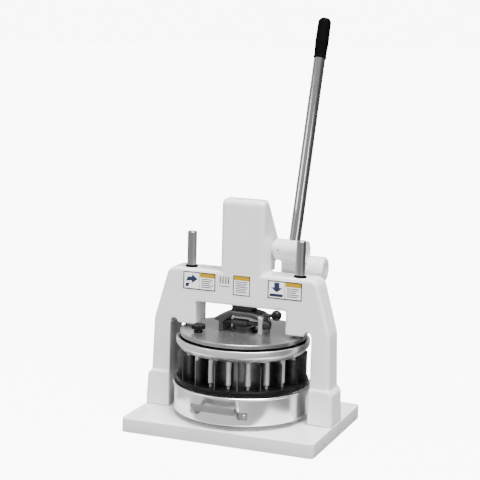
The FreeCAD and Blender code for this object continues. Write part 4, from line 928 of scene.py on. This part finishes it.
def add_handle():
    """Bent strap handle with eased edges and a slightly crowned grip, and domed rivets on its tabs."""
    low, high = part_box("pan_handle")
    radius = round_size("pan_shell")[1] - PAN_BEAD
    press_y = middle("pan_board").y
    plate = 0.0022
    half, tab, height = 0.064, 0.022, 0.022
    crown = 0.0012
    path = handle_path(half, tab, radius, low.y, press_y, plate)
    tab_top = low.z + height
    grip_low, grip_high = tab_top, high.z
    bm = bmesh.new()
    rows = 6
    columns = []
    for x, y, rise in path:
        ease = rise * rise * (3 - 2 * rise)
        bottom = low.z + (grip_low - low.z) * ease
        top = tab_top + (grip_high - tab_top) * ease
        column = []
        for row in range(rows + 1):
            share = row / rows
            inward = crown * ease * (1 - math.sin(math.pi * share))
            column.append(bm.verts.new(Vector((x, y + inward, bottom + (top - bottom) * share))))
        columns.append(column)
    for first, second in zip(columns, columns[1:]):
        for row in range(rows):
            bm.faces.new((first[row], second[row], second[row + 1], first[row + 1]))
    bmesh.ops.recalc_face_normals(bm, faces=bm.faces)
    front = Vector((0, low.y, grip_low))
    middle_face = min(bm.faces, key=lambda face: (face.calc_center_median() - front).length)
    if middle_face.normal.y > 0:
        bmesh.ops.reverse_faces(bm, faces=bm.faces)
    thick = with_modifiers(closed(bm, "handle_sheet"), (
        ("SOLIDIFY", {"thickness": plate - HANDLE_GAP, "offset": -1.0}),
        ("BEVEL", {"width": 0.0007, "segments": 3, "limit_method": "ANGLE",
                   "angle_limit": math.radians(50)}),
    ))
    new_piece("handle_strap", finished_mesh(opened(thick), "handle_strap", 60), "pan_handle", "strap_steel")
    bm = bmesh.new()
    source = cad_bmesh("handle_rivets")
    for centre in islands(source):
        out = Vector((centre.x, centre.y - press_y, 0)).normalized()
        seat = Vector((0, press_y, centre.z)) + out * (radius + plate - HANDLE_GAP)
        turn = Matrix.Translation(seat) @ out.to_track_quat("Z", "Y").to_matrix().to_4x4()
        lathe_into(bm, rounded(RIVET_HEAD, 4), turn, 32)
    source.free()
    new_piece("handle_rivet_heads", finished_mesh(bm, "handle_rivet_heads"), "handle_rivets", "screw_steel")


# ---------------------------------------------------------------- stuck-on plates

# Places on a plate are shares of its width and height; a bar is (left, bottom, right, top).
RIGHT_LINES = [(0.56, 0.60 - 0.11 * i, 0.93 - 0.05 * (i % 3), 0.65 - 0.11 * i) for i in range(5)]
CENTRE_LINES = [(0.14 + 0.04 * (i % 2), 0.66 - 0.085 * i, 0.86 - 0.05 * (i % 3), 0.70 - 0.085 * i)
                for i in range(7)]
ARROW_ICON = [(0.09, 0.46), (0.27, 0.50), (0.26, 0.34), (0.45, 0.60), (0.27, 0.86), (0.27, 0.72),
              (0.14, 0.70)]
LEVER_ICON = [(0.08, 0.34), (0.20, 0.36), (0.16, 0.14), (0.07, 0.14)]
PRESS_ICON = [(0.19, 0.90), (0.34, 0.90), (0.34, 0.62), (0.44, 0.62), (0.265, 0.36), (0.10, 0.62),
              (0.19, 0.62)]
PLATE_ICON = [(0.06, 0.28), (0.45, 0.28), (0.45, 0.12), (0.06, 0.12)]
PRINT_HEIGHT = 0.00012


def rectangle(left, bottom, right, top):
    """Outline of a bar."""
    return [(left, bottom), (right, bottom), (right, top), (left, top)]


def border(width, height, line):
    """Four thin bars round the edge, in shares of the plate's size."""
    dx, dy = line / width, line / height
    return [rectangle(0, 0, 1, dy), rectangle(0, 1 - dy, 1, 1), rectangle(0, dy, dx, 1 - dy),
            rectangle(1 - dx, dy, 1, 1 - dy)]


def add_plate(node, prints, backing=True):
    """A thin plate with raised prints; prints are (ink, outline in shares of the plate)."""
    low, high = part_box(node)
    width, height = high.x - low.x, high.z - low.z
    inks = list(INKS)
    bm = bmesh.new()

    def slab(outline, front, back, index):
        near = [bm.verts.new(Vector((low.x + u * width, front, low.z + v * height))) for u, v in outline]
        far = [bm.verts.new(Vector((low.x + u * width, back, low.z + v * height))) for u, v in outline]
        faces = [bm.faces.new(near), bm.faces.new(list(reversed(far)))]
        count = len(outline)
        for i in range(count):
            faces.append(bm.faces.new((near[i], near[(i + 1) % count], far[(i + 1) % count], far[i])))
        for face in faces:
            face.material_index = index

    face_y = low.y + PRINT_HEIGHT
    if backing:
        slab(rounded_rectangle(width, height, 0.0015), face_y, high.y, 0)
    for ink, outline in prints:
        slab(outline, low.y, face_y if backing else high.y, 1 + inks.index(ink))
    bmesh.ops.recalc_face_normals(bm, faces=bm.faces)
    new_piece(node + "_printed", closed(bm, node + "_printed"), node, ["label"] + inks)


def rounded_rectangle(width, height, radius):
    """Outline of a plate with rounded corners, in shares of its size."""
    corners = [(0, 0, radius), (width, 0, radius), (width, height, radius), (0, height, radius)]
    return [(p.x / width, p.y / height) for p in rounded(corners, 4)]


def add_plates():
    """Generic stuck-on plates: plain header bars, grey bars for the small print and simple signs."""
    for node, signs in (("label_left", (LEVER_ICON, ARROW_ICON)),
                        ("label_right", (PRESS_ICON, PLATE_ICON))):
        low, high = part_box(node)
        width, height = high.x - low.x, high.z - low.z
        prints = [("ink_black", bar) for bar in border(width, height, 0.0032)]
        prints.append(("ink_black", rectangle(0.494, 0.03, 0.506, 0.97)))
        prints.append(("ink_yellow", rectangle(0.52, 0.72, 0.975, 0.95)))
        prints += [("ink_grey", rectangle(*line)) for line in RIGHT_LINES]
        prints += [("ink_navy", sign) for sign in signs]
        add_plate(node, prints)
    low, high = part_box("label_centre")
    prints = [("ink_black", bar) for bar in border(high.x - low.x, high.z - low.z, 0.0028)]
    prints.append(("ink_yellow", rectangle(0.05, 0.76, 0.95, 0.955)))
    prints += [("ink_grey", rectangle(*line)) for line in CENTRE_LINES]
    add_plate("label_centre", prints)
    bars = []
    for i in range(4):
        left = 0.06 + 0.25 * i
        bars.append(("ink_grey", rectangle(left, 0.36, left + 0.09, 0.86)))
        bars.append(("ink_grey", rectangle(left - 0.02, 0.90, left + 0.11, 0.97)))
    bars.append(("ink_grey", rectangle(0.0, 0.08, 1.0, 0.13)))
    add_plate("label_numbers", bars, backing=False)


# ---------------------------------------------------------------- assembly

LOOK_OF = {
    "cam_shaft": "dark_iron", "ram_socket": "dark_iron", "hub_set_screws": "white_paint",
    "thrust_washer": "white_paint", "guide_bush_left": "dark_iron", "guide_bush_right": "dark_iron",
}


def dress_cad_nodes():
    """Give every CAD node the finish of its material slot, or its own where the slot is too bright."""
    for node, obj in NODES.items():
        obj.data.materials.clear()
        obj.data.materials.append(FINISHES[LOOK_OF.get(node, SLOT_OF[node])])


FINISHES = make_finishes()
FINISHES["frame_paint"] = frame_paint().material
add_inks(FINISHES)

add_camera()
add_studio()
add_floor()
dress_cad_nodes()
add_castings()
add_counterweight()
add_wipers()
add_lever()
add_press_ring()
add_posts()
add_seal_and_outer_ring()
add_knob()
add_ball()
add_pan()
add_handle()
add_plates()
